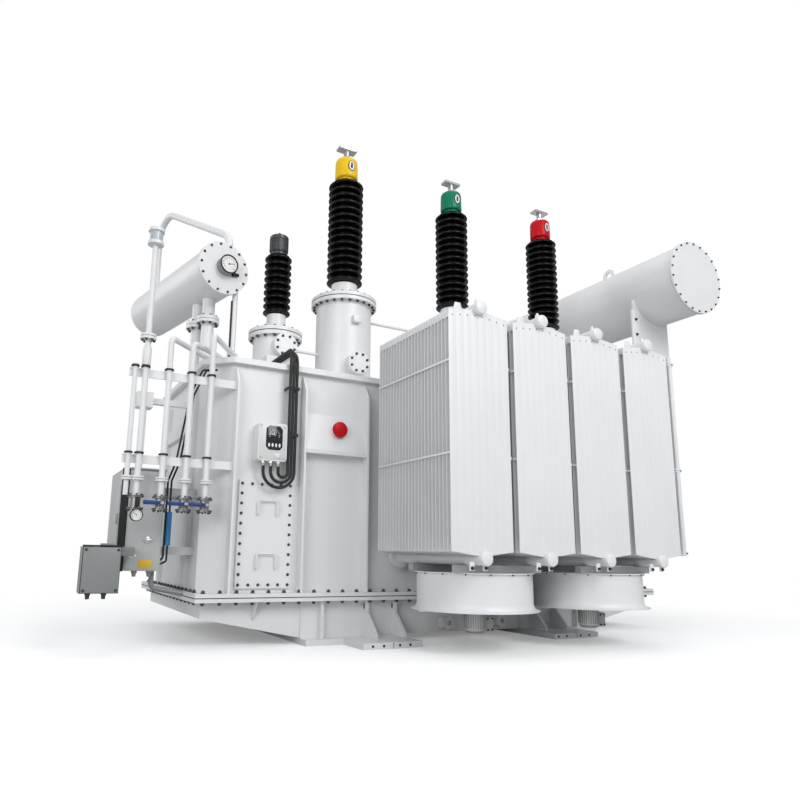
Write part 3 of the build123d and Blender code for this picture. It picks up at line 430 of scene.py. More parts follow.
class Form:
    """A mesh under construction, shaped by mesh operators."""

    def __init__(self) -> None:
        """Start an empty mesh."""
        self.mesh = bmesh.new()

    def _edges(self, verts: Iterable[Any]) -> list[Any]:
        """Edges between the given corners."""
        chosen = set(verts)
        return list({e for v in chosen for e in v.link_edges if e.other_vert(v) in chosen})

    def bevel(self, edges: Sequence[Any], width: float, segments: int = 2) -> None:
        """Round some edges.

        Args:
            edges: what to round.
            width: size of the round.
            segments: steps in the round.
        """
        bmesh.ops.bevel(
            self.mesh, geom=list(edges), offset=width, affect="EDGES", segments=segments, profile=0.5,
            material=-1, clamp_overlap=True,
        )

    def block(self, low: Point, high: Point, round_by: float = 0.0, segments: int = 2) -> "Form":
        """Add a block between two corners.

        Args:
            low: lowest corner.
            high: highest corner.
            round_by: width of its rounded edges.
            segments: steps in the rounds.

        Returns:
            This form.
        """
        size = [b - a for a, b in zip(low, high)]
        middle = Vector([(a + b) / 2 for a, b in zip(low, high)])
        place = Matrix.Translation(middle) @ Matrix.Diagonal((*size, 1.0))
        made = bmesh.ops.create_cube(self.mesh, size=1.0, matrix=place)["verts"]
        if round_by:
            self.bevel(self._edges(made), round_by, segments)
        return self

    def rod(self, start: Point, end: Point, radius: float, sides: int = 24, tip: float | None = None,
            round_by: float = 0.0) -> "Form":
        """Add a round bar, disc or cone.

        Args:
            start: centre of its first end.
            end: centre of its other end.
            radius: radius at the start.
            sides: facets round it.
            tip: radius at the end, if it differs.
            round_by: width of its rounded rims.

        Returns:
            This form.
        """
        a, b = Vector(start), Vector(end)
        run = b - a
        turn = run.to_track_quat("Z", "Y").to_matrix().to_4x4()
        place = Matrix.Translation((a + b) / 2) @ turn
        made = bmesh.ops.create_cone(
            self.mesh, cap_ends=True, segments=sides, radius1=radius, radius2=radius if tip is None else tip,
            depth=run.length, matrix=place,
        )["verts"]
        if round_by:
            direction = run.normalized()
            rims = [e for e in self._edges(made) if self._crosses(e, direction)]
            self.bevel(rims, round_by, 2)
        return self

    @staticmethod
    def _crosses(edge: Any, direction: Vector) -> bool:
        """Whether an edge runs across a direction."""
        along = (edge.verts[1].co - edge.verts[0].co).normalized()
        return abs(along.dot(direction)) < 0.1

    def turned(self, profile: Profile, origin: Point, axis: Point = UP, steps: int = 48) -> "Form":
        """Add a piece turned about an axis.

        Args:
            profile: radius and height points, from one end on the axis to the other or as a closed ring.
            origin: where height zero lies.
            axis: direction of the axis.
            steps: facets round it.

        Returns:
            This form.
        """
        spindle = Vector(axis).normalized()
        side = spindle.orthogonal().normalized()
        start = Vector(origin)
        lathe = Form()
        line = [lathe.mesh.verts.new(start + side * r + spindle * h) for r, h in profile]
        wires = [lathe.mesh.edges.new(pair) for pair in zip(line, line[1:])]
        bmesh.ops.spin(
            lathe.mesh, geom=line + wires, cent=start, axis=spindle, angle=math.tau, steps=steps,
            use_merge=True, use_duplicate=False,
        )
        bmesh.ops.remove_doubles(lathe.mesh, verts=lathe.mesh.verts[:], dist=1e-5)
        bmesh.ops.recalc_face_normals(lathe.mesh, faces=lathe.mesh.faces[:])
        return self.stamp(lathe.pattern("turned_form"), [Matrix()])

    def ring(self, outer: float, inner: float, start: float, end: float, origin: Point, axis: Point,
             steps: int = 40) -> "Form":
        """Add a flat ring between two radii and two heights."""
        return self.turned(
            [(inner, start), (outer, start), (outer, end), (inner, end), (inner, start)], origin, axis, steps
        )

    def oval(self, spot: Sequence[float], axis: Point, width: float, height: float, depth: float) -> "Form":
        """Add an upright oval plate.

        Args:
            spot: centre of its back.
            axis: direction it faces, level.
            width: size across.
            height: upright size.
            depth: thickness.

        Returns:
            This form.
        """
        out = Vector(axis).normalized()
        up = Vector(UP)
        turn = Matrix((up.cross(out) * width, up * height, out * depth)).transposed().to_4x4()
        place = Matrix.Translation(Vector(spot) + out * depth / 2) @ turn
        bmesh.ops.create_cone(
            self.mesh, cap_ends=True, segments=28, radius1=0.5, radius2=0.5, depth=1.0, matrix=place
        )
        return self

    def slab(self, outline: Sequence[Point], push: Point, round_by: float = 0.0) -> "Form":
        """Add a flat outline given thickness.

        Args:
            outline: its corners in order.
            push: thickness as a vector.
            round_by: width of its rounded edges.

        Returns:
            This form.
        """
        corners = [self.mesh.verts.new(p) for p in outline]
        face = self.mesh.faces.new(corners)
        grown = bmesh.ops.extrude_face_region(self.mesh, geom=[face])["geom"]
        moved = [v for v in grown if isinstance(v, bmesh.types.BMVert)]
        bmesh.ops.translate(self.mesh, verts=moved, vec=Vector(push))
        faces = list({f for v in corners + moved for f in v.link_faces})
        bmesh.ops.recalc_face_normals(self.mesh, faces=faces)
        if round_by:
            self.bevel(self._edges(corners + moved), round_by, 2)
        return self

    def tube(self, route: Sequence[Point], radius: float, bend: float, sides: int = 16,
             arc: int = 6) -> "Form":
        """Add a pipe along straight runs with round bends.

        Args:
            route: corner points.
            radius: pipe radius.
            bend: bend radius at the corners.
            sides: facets round it.
            arc: steps in each bend.

        Returns:
            This form.
        """
        corners = [Vector(p) for p in route]
        first = (corners[1] - corners[0]).normalized()
        turn = first.to_track_quat("Z", "Y").to_matrix().to_4x4()
        place = Matrix.Translation(corners[0]) @ turn
        made = bmesh.ops.create_circle(
            self.mesh, cap_ends=True, segments=sides, radius=radius, matrix=place
        )["verts"]
        start = list({f for v in made for f in v.link_faces})
        bmesh.ops.reverse_faces(self.mesh, faces=start)
        rim = self._edges(made)
        here = corners[0]
        for before, corner, after in zip(corners, corners[1:], corners[2:]):
            come, go = (corner - before).normalized(), (after - corner).normalized()
            angle = come.angle(go)
            cut = bend * math.tan(angle / 2)
            rim = self._push(rim, corner - come * cut - here)
            pivot_axis = come.cross(go).normalized()
            centre = corner - come * cut + pivot_axis.cross(come) * bend
            swing = Matrix.Rotation(angle / arc, 3, pivot_axis)
            for _ in range(arc):
                rim = self._push(rim, Vector())
                verts = list({v for e in rim for v in e.verts})
                bmesh.ops.rotate(self.mesh, verts=verts, cent=centre, matrix=swing)
            here = corner + go * cut
        rim = self._push(rim, corners[-1] - here)
        bmesh.ops.contextual_create(self.mesh, geom=rim)
        return self

    def _push(self, rim: list[Any], step: Vector) -> list[Any]:
        """Extrude a rim by a step and give the new rim."""
        grown = bmesh.ops.extrude_edge_only(self.mesh, edges=rim)["geom"]
        verts = [v for v in grown if isinstance(v, bmesh.types.BMVert)]
        bmesh.ops.translate(self.mesh, verts=verts, vec=step)
        return self._edges(verts)

    def stamp(self, pattern: bpy.types.Mesh, places: Iterable[Matrix]) -> "Form":
        """Add copies of a small mesh.

        Args:
            pattern: the mesh to copy.
            places: where each copy goes.

        Returns:
            This form.
        """
        for place in places:
            copy = pattern.copy()
            copy.transform(place)
            self.mesh.from_mesh(copy)
            bpy.data.meshes.remove(copy)
        return self

    def pattern(self, name: str) -> bpy.types.Mesh:
        """Turn the form into a plain mesh for stamping."""
        mesh = bpy.data.meshes.new(name)
        self.mesh.to_mesh(mesh)
        self.mesh.free()
        return mesh

    def piece(self, name: str, finish: bpy.types.Material, slot: Slot, body: Body = Body.FIXED,
              replaces: Sequence[str] = (), smooth: float = 35.0) -> bpy.types.Object:
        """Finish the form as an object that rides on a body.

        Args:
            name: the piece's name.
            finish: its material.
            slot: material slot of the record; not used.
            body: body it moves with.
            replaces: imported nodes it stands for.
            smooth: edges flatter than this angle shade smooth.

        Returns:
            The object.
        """
        mesh = self.pattern(name)
        mesh.materials.append(finish)
        mesh.shade_smooth()
        mesh.set_sharp_from_angle(angle=math.radians(smooth))
        made = bpy.data.objects.new(name, mesh)
        bpy.context.scene.collection.objects.link(made)
        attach(made, body.value)
        if replaces:
            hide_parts(*replaces)
        LOG.info("piece %s: %d faces", name, len(mesh.polygons))
        return made


class Fasteners:
    """Hex bolts, stamped many times, and cable glands."""

    def __init__(self) -> None:
        """Make the bolt pattern, one metre across its head's corners."""
        form = Form()
        form.rod((0, 0, 0), (0, 0, 0.10), 0.64, 10)
        form.rod((0, 0, 0.10), (0, 0, 0.62), 0.50, 6)
        form.rod((0, 0, 0.62), (0, 0, 0.84), 0.28, 8, round_by=0.08)
        self.bolt = form.pattern("bolt_pattern")

    @staticmethod
    def at(spot: Point, axis: Point, size: float) -> Matrix:
        """Place for a bolt.

        Args:
            spot: where it seats.
            axis: direction it stands.
            size: width of its head.

        Returns:
            The placing matrix.
        """
        turn = Vector(axis).to_track_quat("Z", "Y").to_matrix().to_4x4()
        return Matrix.Translation(spot) @ turn @ Matrix.Scale(size, 4)

    def one(self, form: Form, spot: Point, axis: Point, size: float) -> None:
        """Set a single bolt.

        Args:
            form: form that takes it.
            spot: where it seats.
            axis: direction it stands.
            size: width of its head.
        """
        form.stamp(self.bolt, [self.at(spot, axis, size)])

    @staticmethod
    def gland(form: Form, x: float, y: float, heights: Triple, radii: Triple) -> None:
        """Hang a cable gland: a hexagon nut with a tapered neck below it.

        Args:
            form: form that takes it.
            x: its place along X.
            y: its place along Y.
            heights: top of the nut, top of the neck and the neck's end.
            radii: of the nut, the neck and the neck's end.
        """
        top, neck, end = heights
        nut, wide, narrow = radii
        form.rod((x, y, top), (x, y, neck), nut, 6)
        form.rod((x, y, neck), (x, y, end), wide, 20, narrow)

    def circle(self, centre: Point, axis: Point, radius: float, count: int, size: float,
               start: float = 0.0) -> list[Matrix]:
        """Places of bolts round a circle.

        Args:
            centre: middle of the circle on its face.
            axis: direction the bolts stand.
            radius: bolt circle radius.
            count: number of bolts.
            size: width of each head.
            start: turn of the first bolt in degrees.

        Returns:
            The placing matrices.
        """
        spindle = Vector(axis).normalized()
        side = Vector(UP) if abs(spindle.z) < 0.9 else Vector((1, 0, 0))
        up = (side - spindle * side.dot(spindle)).normalized()
        across = spindle.cross(up)
        places = []
        for i in range(count):
            a = math.tau * i / count + math.radians(start)
            spoke = up * math.cos(a) + across * math.sin(a)
            places.append(self.at(Vector(centre) + spoke * radius, axis, size))
        return places

    def row(self, first: Point, last: Point, count: int, axis: Point, size: float) -> list[Matrix]:
        """Places of bolts along a line.

        Args:
            first: first bolt.
            last: last bolt.
            count: number of bolts.
            axis: direction the bolts stand.
            size: width of each head.

        Returns:
            The placing matrices.
        """
        a, b = Vector(first), Vector(last)
        return [self.at(a.lerp(b, i / (count - 1)), axis, size) for i in range(count)]


@dataclass(frozen=True)
class SoftBox:
    """One square lamp of the studio."""

    name: str
    spot: Point
    aim: Point
    size: float
    watts: float

    def hang(self) -> None:
        """Put the lamp in the scene."""
        data = bpy.data.lights.new(self.name, "AREA")
        data.shape = "SQUARE"
        data.size = self.size
        data.energy = self.watts
        lamp = bpy.data.objects.new(self.name, data)
        turn = (Vector(self.aim) - Vector(self.spot)).to_track_quat("-Z", "Y").to_matrix().to_4x4()
        lamp.matrix_world = Matrix.Translation(self.spot) @ turn
        bpy.context.scene.collection.objects.link(lamp)


@dataclass
class Studio:
    """Camera, floor and soft light."""

    camera_at: Point = (-3.47260, -5.60727, 0.67178)
    yaw: float = 27.03756
    pitch: float = 11.13753
    roll: float = 1.00132
    lens: float = 29.4077
    shift: tuple[float, float] = (0.0625, 0.03125)
    sensor: float = 36.0
    sight: float = 200.0
    floor_size: float = 60.0
    floor_glow: float = 0.20
    floor_tones: tuple[Colour, Colour] = ((0.93, 0.93, 0.93), (0.90, 0.90, 0.90))
    floor_bounce: Colour = (0.55, 0.55, 0.55)
    white_beyond: Profile = ((0.050, 0.0), (0.090, 1.0))
    sky: Colour = (0.95, 0.975, 1.0)
    sky_strength: float = 0.50
    lamps: tuple[SoftBox, ...] = (
        SoftBox("key", (1.5, -11.5, 8.0), (0, 0, 1.8), 6.0, 670),
        SoftBox("top", (0.0, -1.0, 10.5), (0, 0, 1.5), 8.0, 210),
        SoftBox("rear", (-9.0, 5.5, 6.0), (0, 0, 2.0), 5.0, 190),
        SoftBox("left", (-15.0, -12.5, 6.0), (0, 0, 2.0), 8.0, 900),
    )

    def camera(self) -> None:
        """Place the camera as the photograph's was."""
        yaw, pitch, roll = (math.radians(v) for v in (self.yaw, self.pitch, self.roll))
        ahead = Vector((math.sin(yaw), math.cos(yaw), 0))
        right = Vector((math.cos(yaw), -math.sin(yaw), 0))
        up = Vector(UP)
        look = ahead * math.cos(pitch) + up * math.sin(pitch)
        raised = up * math.cos(pitch) - ahead * math.sin(pitch)
        across = right * math.cos(roll) + raised * math.sin(roll)
        upright = raised * math.cos(roll) - right * math.sin(roll)
        data = bpy.data.cameras.new("camera")
        data.sensor_width = self.sensor
        data.lens = self.lens
        data.shift_x, data.shift_y = self.shift
        data.dof.use_dof = False
        data.clip_end = self.sight
        camera = bpy.data.objects.new("camera", data)
        turn = Matrix((across, upright, -look)).transposed().to_4x4()
        camera.matrix_world = Matrix.Translation(self.camera_at) @ turn
        bpy.context.scene.collection.objects.link(camera)
        bpy.context.scene.camera = camera

    def stage(self) -> None:
        """Lay the pale floor, which keeps the object's shadow."""
        form = Form()
        bmesh.ops.create_grid(form.mesh, x_segments=1, y_segments=1, size=self.floor_size)
        floor = bpy.data.objects.new("floor", form.pattern("floor"))
        bpy.context.scene.collection.objects.link(floor)
        g = Graph("studio_floor")
        ray = g.node("ShaderNodeLightPath", {}, {}, "Is Camera Ray")
        reach = g.node("ShaderNodeVectorMath", {"operation": "LENGTH"}, {0: g.place()}, "Value")
        far = g.ramp(reach * (1.0 / self.floor_size), self.white_beyond)
        tone = g.blend(g.noise(0.6, 2.0), *self.floor_tones)
        diffuse = g.node("ShaderNodeBsdfDiffuse", {}, {"Color": tone})
        glow = g.node("ShaderNodeEmission", {}, {"Color": (1, 1, 1, 1), "Strength": self.floor_glow})
        white = g.node("ShaderNodeEmission", {}, {"Color": (1, 1, 1, 1), "Strength": 1.0})
        near = g.node("ShaderNodeAddShader", {}, {0: diffuse, 1: glow})
        shown = g.node("ShaderNodeMixShader", {}, {0: far, 1: near, 2: white})
        bounce = g.node("ShaderNodeBsdfDiffuse", {}, {"Color": (*self.floor_bounce, 1.0)})
        g.node_out(g.node("ShaderNodeMixShader", {}, {0: ray, 1: bounce, 2: shown}))
        floor.data.materials.append(g.material)

    def world(self) -> None:
        """White surroundings for camera and transmission rays, plain soft light for the rest."""
        world = bpy.data.worlds.new("studio_world")
        bpy.context.scene.world = world
        world.use_nodes = True
        tree = world.node_tree
        tree.nodes.clear()
        path = tree.nodes.new("ShaderNodeLightPath")
        seen = tree.nodes.new("ShaderNodeMath")
        seen.operation = "MAXIMUM"
        tree.links.new(path.outputs["Is Camera Ray"], seen.inputs[0])
        tree.links.new(path.outputs["Is Transmission Ray"], seen.inputs[1])
        soft = tree.nodes.new("ShaderNodeBackground")
        soft.inputs["Color"].default_value = (*self.sky, 1.0)
        soft.inputs["Strength"].default_value = self.sky_strength
        white = tree.nodes.new("ShaderNodeBackground")
        white.inputs["Strength"].default_value = 1.0
        white.inputs["Color"].default_value = (1, 1, 1, 1)
        mix = tree.nodes.new("ShaderNodeMixShader")
        out = tree.nodes.new("ShaderNodeOutputWorld")
        tree.links.new(seen.outputs[0], mix.inputs[0])
        tree.links.new(soft.outputs[0], mix.inputs[1])
        tree.links.new(white.outputs[0], mix.inputs[2])
        tree.links.new(mix.outputs[0], out.inputs["Surface"])

    def build(self) -> None:
        """Set up camera, floor, world and lamps."""
        bpy.context.scene.view_settings.view_transform = "Standard"
        self.camera()
        self.stage()
        self.world()
        for lamp in self.lamps:
            lamp.hang()


def dress_solids(f: Finishes) -> None:
    """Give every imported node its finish.

    Args:
        f: the finishes.
    """
    special: dict[str, bpy.types.Material] = {
        "lower_tank": f.tank, "feet": f.tank, "bell_flange": f.tank, "active_part": f.core,
        "hv_cap_1": f.yellow, "hv_cap_2": f.green, "hv_cap_3": f.red,
        "hv_insulator_1": f.glaze, "hv_insulator_2": f.glaze, "hv_insulator_3": f.glaze,
        "neutral_insulator": f.glaze, "neutral_cap": f.dark_grey, "lv_bushings": f.brown,
        "hv_terminals": f.aluminium, "indicator_cables": f.rubber, "red_cap": f.red,
        "drive_cabinet": f.cabinet, "cabinet_door": f.door, "junction_box": f.box,
        "rack_pipes": f.pipe, "rack_bars": f.pipe, "vent_pipe": f.pipe, "rack_valves": f.valve,
        "valve_lever_1": f.blue, "valve_lever_2": f.blue, "valve_lever_3": f.blue,
        "oil_level_gauge": f.box, "pressure_gauge": f.gasket,
        # fan_mounts take the mid grey that is painted shade of the radiators' shadow.
        "fan_motor_1": f.tank, "fan_motor_2": f.tank, "fan_mounts": f.mount,
    }
    for name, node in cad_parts.items():
        finish = special.get(name, f.radiator if name.startswith("radiator") else f.white)
        node.data.materials.clear()
        node.data.materials.append(finish)
    LOG.info("dressed %d packed nodes", len(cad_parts))


@dataclass
class PressedRadiators:
    """Four stacks of pressed oil fins on round headers."""

    finishes: Finishes
    fasteners: Fasteners
    count: int = 4
    first_left: float = -0.910
    pitch: float = 0.5766
    width: float = 0.520
    front: float = -2.070
    fins: int = 23
    fin_pitch: float = 0.04345
    fin_middle: float = 0.006
    base: float = 0.700
    top: float = 2.365
    roof_rise: float = 0.030
    roof_flat: float = 0.040
    channels: int = 8
    seam: float = 0.0028
    channel_depth: float = 0.0016
    channel_inset: float = 0.007
    collector: float = 0.055
    collector_inset: float = 0.004
    header_radius: float = 0.045
    header_reach: tuple[float, float] = (-2.080, -1.0921)
    header_heights: tuple[float, float] = (0.654, 2.411)
    cap_profile: Profile = (
        (0, 0.0345), (0.038, 0.034), (0.046, 0.030), (0.0495, 0.023), (0.0495, -0.004), (0, -0.004),
    )
    eye_outline: Profile = ((0.060, 2.372), (0.140, 2.380), (0.125, 2.440), (0.080, 2.440))
    eye_back: float = 0.030
    eye_thickness: float = 0.012
    tab_shifts: tuple[float, float] = (-0.100, 0.012)
    tab_half: float = 0.018
    tab_depth: tuple[float, float] = (-0.004, 0.008)
    tab_heights: tuple[float, float] = (0.575, 0.632)
    tab_bolt_z: float = 0.592
    plug_back: float = 0.022
    plug_heights: tuple[float, float, float] = (2.452, 2.476, 2.490)
    dot_drop: float = 0.042
    dot_radius: float = 0.0050
    tie_heights: tuple[float, float] = (1.350, 1.996)
    tie_half: float = 0.0075
    tie_depth: tuple[float, float] = (0.0002, 0.0060)
    tie_run: float = 0.968
    clamp_heights: tuple[float, float, float] = (0.720, 1.390, 2.300)
    clamp_lifts: tuple[float, float] = (-0.014, 0.006)

    def roof(self, x: float) -> float:
        """Rise of the fin's edge at a distance from its middle."""
        half = self.width / 2
        return self.roof_rise * min(1.0, (half - abs(x)) / (half - self.roof_flat))

    def fin(self) -> bpy.types.Mesh:
        """Press one fin: two channelled sheets joined at their rim.

        Returns:
            The fin about its own middle plane.
        """
        form = Form()
        mesh = form.mesh
        height = self.top - self.base
        middle = (self.top + self.base) / 2
        verts = bmesh.ops.create_grid(mesh, x_segments=self.channels, y_segments=1, size=0.5)["verts"]
        bmesh.ops.scale(mesh, vec=(self.width, height, 1), verts=verts)
        bmesh.ops.rotate(mesh, cent=(0, 0, 0), matrix=Matrix.Rotation(math.pi / 2, 3, "X"), verts=verts)
        bmesh.ops.translate(mesh, vec=(0, -self.seam, middle), verts=verts)
        for v in verts:
            v.co.z += math.copysign(self.roof(v.co.x), v.co.z - middle)
        bmesh.ops.inset_individual(
            mesh, faces=mesh.faces[:], thickness=self.channel_inset, depth=self.channel_depth,
            use_even_offset=True,
        )
        sheet = mesh.verts[:] + mesh.edges[:] + mesh.faces[:]
        back = bmesh.ops.duplicate(mesh, geom=sheet)["geom"]
        moved = [v for v in back if isinstance(v, bmesh.types.BMVert)]
        bmesh.ops.scale(mesh, vec=(1, -1, 1), verts=moved)
        rims = [e for e in mesh.edges if e.is_boundary]
        bmesh.ops.bridge_loops(mesh, edges=rims)
        bmesh.ops.recalc_face_normals(mesh, faces=mesh.faces[:])
        return form.pattern("pressed_fin")

    def stacks(self) -> None:
        """Stamp the fins on each pair of headers."""
        fin = self.fin()
        back = self.front + (self.fins - 1) * self.fin_pitch
        half = self.width / 2 - self.collector_inset
        start, end = self.header_reach
        for i in range(self.count):
            middle = self.first_left + i * self.pitch + self.width / 2
            form = Form()
            form.stamp(fin, [
                Matrix.Translation((middle, self.front + self.fin_middle + k * self.fin_pitch, 0))
                for k in range(self.fins)
            ])
            form.block(
                (middle - half, self.front + 0.008, self.top - self.collector),
                (middle + half, back, self.top - 0.003),
            )
            for z in self.header_heights:
                form.rod((middle, start, z), (middle, end, z), self.header_radius, 32)
            number = i + 1
            form.piece(
                f"pressed_radiator_{number}", self.finishes.radiator, Slot.RADIATOR,
                replaces=(f"radiator_{number}",),
            )

    def caps_and_tabs(self, caps: Form, bolts: Form, left: float) -> None:
        """Dome one stack's header caps and add its lifting eye and drain tabs.

        Args:
            caps: form that takes the painted pieces.
            bolts: form that takes the bolts.
            left: the stack's left edge.
        """
        middle = left + self.width / 2
        for z in self.header_heights:
            caps.turned(self.cap_profile, (middle, self.header_reach[0], z), FRONT, 40)
        eye_y = self.front + self.eye_back
        caps.slab([(left + dx, eye_y, z) for dx, z in self.eye_outline], (0, self.eye_thickness, 0), 0.003)
        near, far = (self.front + d for d in self.tab_depth)
        low, high = self.tab_heights
        for shift in self.tab_shifts:
            x = middle + shift
            caps.block((x - self.tab_half, near, low), (x + self.tab_half, far, high), 0.003)
            self.fasteners.one(bolts, (x, near, self.tab_bolt_z), FRONT, 0.020)

    def plugs_and_dots(self, plugs: Form, dots: Form, middle: float) -> None:
        """Set one stack's vent plug and the weld dots on its first fin; the dots' dark finish is painted
        shade of the weld dimples.

        Args:
            plugs: form that takes the plug.
            dots: form that takes the dots.
            middle: the stack's middle.
        """
        y = self.front + self.plug_back
        low, neck, high = self.plug_heights
        plugs.rod((middle, y, low), (middle, y, neck), 0.017, 6)
        plugs.rod((middle, y, neck), (middle, y, high), 0.010, 16, round_by=0.002)
        # Dark dots: painted shade standing in for the shade inside the spot-weld dimples.
        for k in range(self.channels):
            x = (k + 0.5) * self.width / self.channels - self.width / 2
            z = self.top + self.roof(x) - self.dot_drop
            dots.rod(
                (middle + x, self.front + 0.0025, z), (middle + x, self.front + 0.0004, z), self.dot_radius, 8
            )

    def tie_strips(self, ties: Form, middle: float) -> None:
        """Lay the tie strips along both sides of one stack.

        Args:
            ties: form that takes the strips.
            middle: the stack's middle.
        """
        for side in (-1, 1):
            face = middle + side * self.width / 2
            low, high = sorted(face + side * d for d in self.tie_depth)
            for z in self.tie_heights:
                ties.block(
                    (low, self.front, z - self.tie_half),
                    (high, self.front + self.tie_run, z + self.tie_half), 0.0015,
                )

    def end_angle(self, ties: Form, bolts: Form) -> None:
        """Stand the angle bar and its clamps beside the last stack.

        Args:
            ties: form that takes the bar and clamps.
            bolts: form that takes the bolts.
        """
        edge = self.first_left + (self.count - 1) * self.pitch + self.width
        y = self.front
        ties.block((edge + 0.024, y, self.base), (edge + 0.064, y + 0.005, self.top), 0.002)
        ties.block((edge + 0.030, y, self.base), (edge + 0.036, y + 0.050, self.top), 0.002)
        for z in self.clamp_heights:
            for lift in self.clamp_lifts:
                ties.block(
                    (edge - 0.002, y - 0.004, z + lift), (edge + 0.070, y + 0.002, z + lift + 0.008), 0.001
                )
            self.fasteners.one(bolts, (edge + 0.068, y + 0.004, z), (1, 0, 0), 0.016)

    def fittings(self) -> None:
        """Add caps, eyes, plugs, drain tabs, weld dots and tie strips."""
        caps, plugs, dots, ties, bolts = (Form() for _ in range(5))
        for i in range(self.count):
            left = self.first_left + i * self.pitch
            middle = left + self.width / 2
            self.caps_and_tabs(caps, bolts, left)
            self.plugs_and_dots(plugs, dots, middle)
            self.tie_strips(ties, middle)
        self.end_angle(ties, bolts)
        caps.piece("header_cap_domes", self.finishes.radiator, Slot.RADIATOR)
        ties.piece(
            "radiator_tie_strips", self.finishes.radiator, Slot.RADIATOR, replaces=("radiator_fittings",)
        )
        plugs.piece("vent_plugs", self.finishes.white, Slot.WHITE)
        # The weld dots take the dark bolt finish as painted shade of their dimples.
        dots.piece("spot_weld_dimple_painted_shade", self.finishes.bolt, Slot.STEEL)
        bolts.piece("drain_tab_bolts", self.finishes.bolt, Slot.STEEL)

    def build(self) -> None:
        """Make the radiators."""
        self.stacks()
        self.fittings()


@dataclass
class Insulator:
    """A ribbed insulator with rounded sheds and a small ridge between them."""

    node: str
    x: float
    y: float
    base: float
    sheds: int
    pitch: float
    tip: float
    root: float
    neck: float = 0.96
    shed: Profile = (
        (0.0, 0.02), (0.12, 0.10), (0.58, 0.20), (0.88, 0.25), (0.98, 0.31), (1.0, 0.39), (0.97, 0.47),
        (0.86, 0.53), (0.40, 0.59), (0.20, 0.65), (0.46, 0.71), (0.56, 0.76), (0.57, 0.80), (0.50, 0.85),
        (0.22, 0.91), (0.04, 0.97),
    )

    def build(self, finish: bpy.types.Material) -> None:
        """Turn the insulator.

        Args:
            finish: its glaze.
        """
        line = [(0.0, 0.0), (self.root * self.neck, 0.0)]
        for i in range(self.sheds):
            z = i * self.pitch
            for reach, rise in self.shed:
                line.append((self.root + (self.tip - self.root) * reach, z + rise * self.pitch))
        height = self.sheds * self.pitch
        line += [(self.root * self.neck, height), (0.0, height)]
        Form().turned(line, (self.x, self.y, self.base), steps=56).piece(
            f"shed_{self.node}", finish, Slot.GLAZE, replaces=(self.node,), smooth=50.0
        )


@dataclass(frozen=True)
class Turret:
    """Sizes of one turret that its flanges and bolts follow."""

    x: float
    low: float
    top: float
    edge: float
    wall: float
    bolts: int
    collar: float
    port_z: float


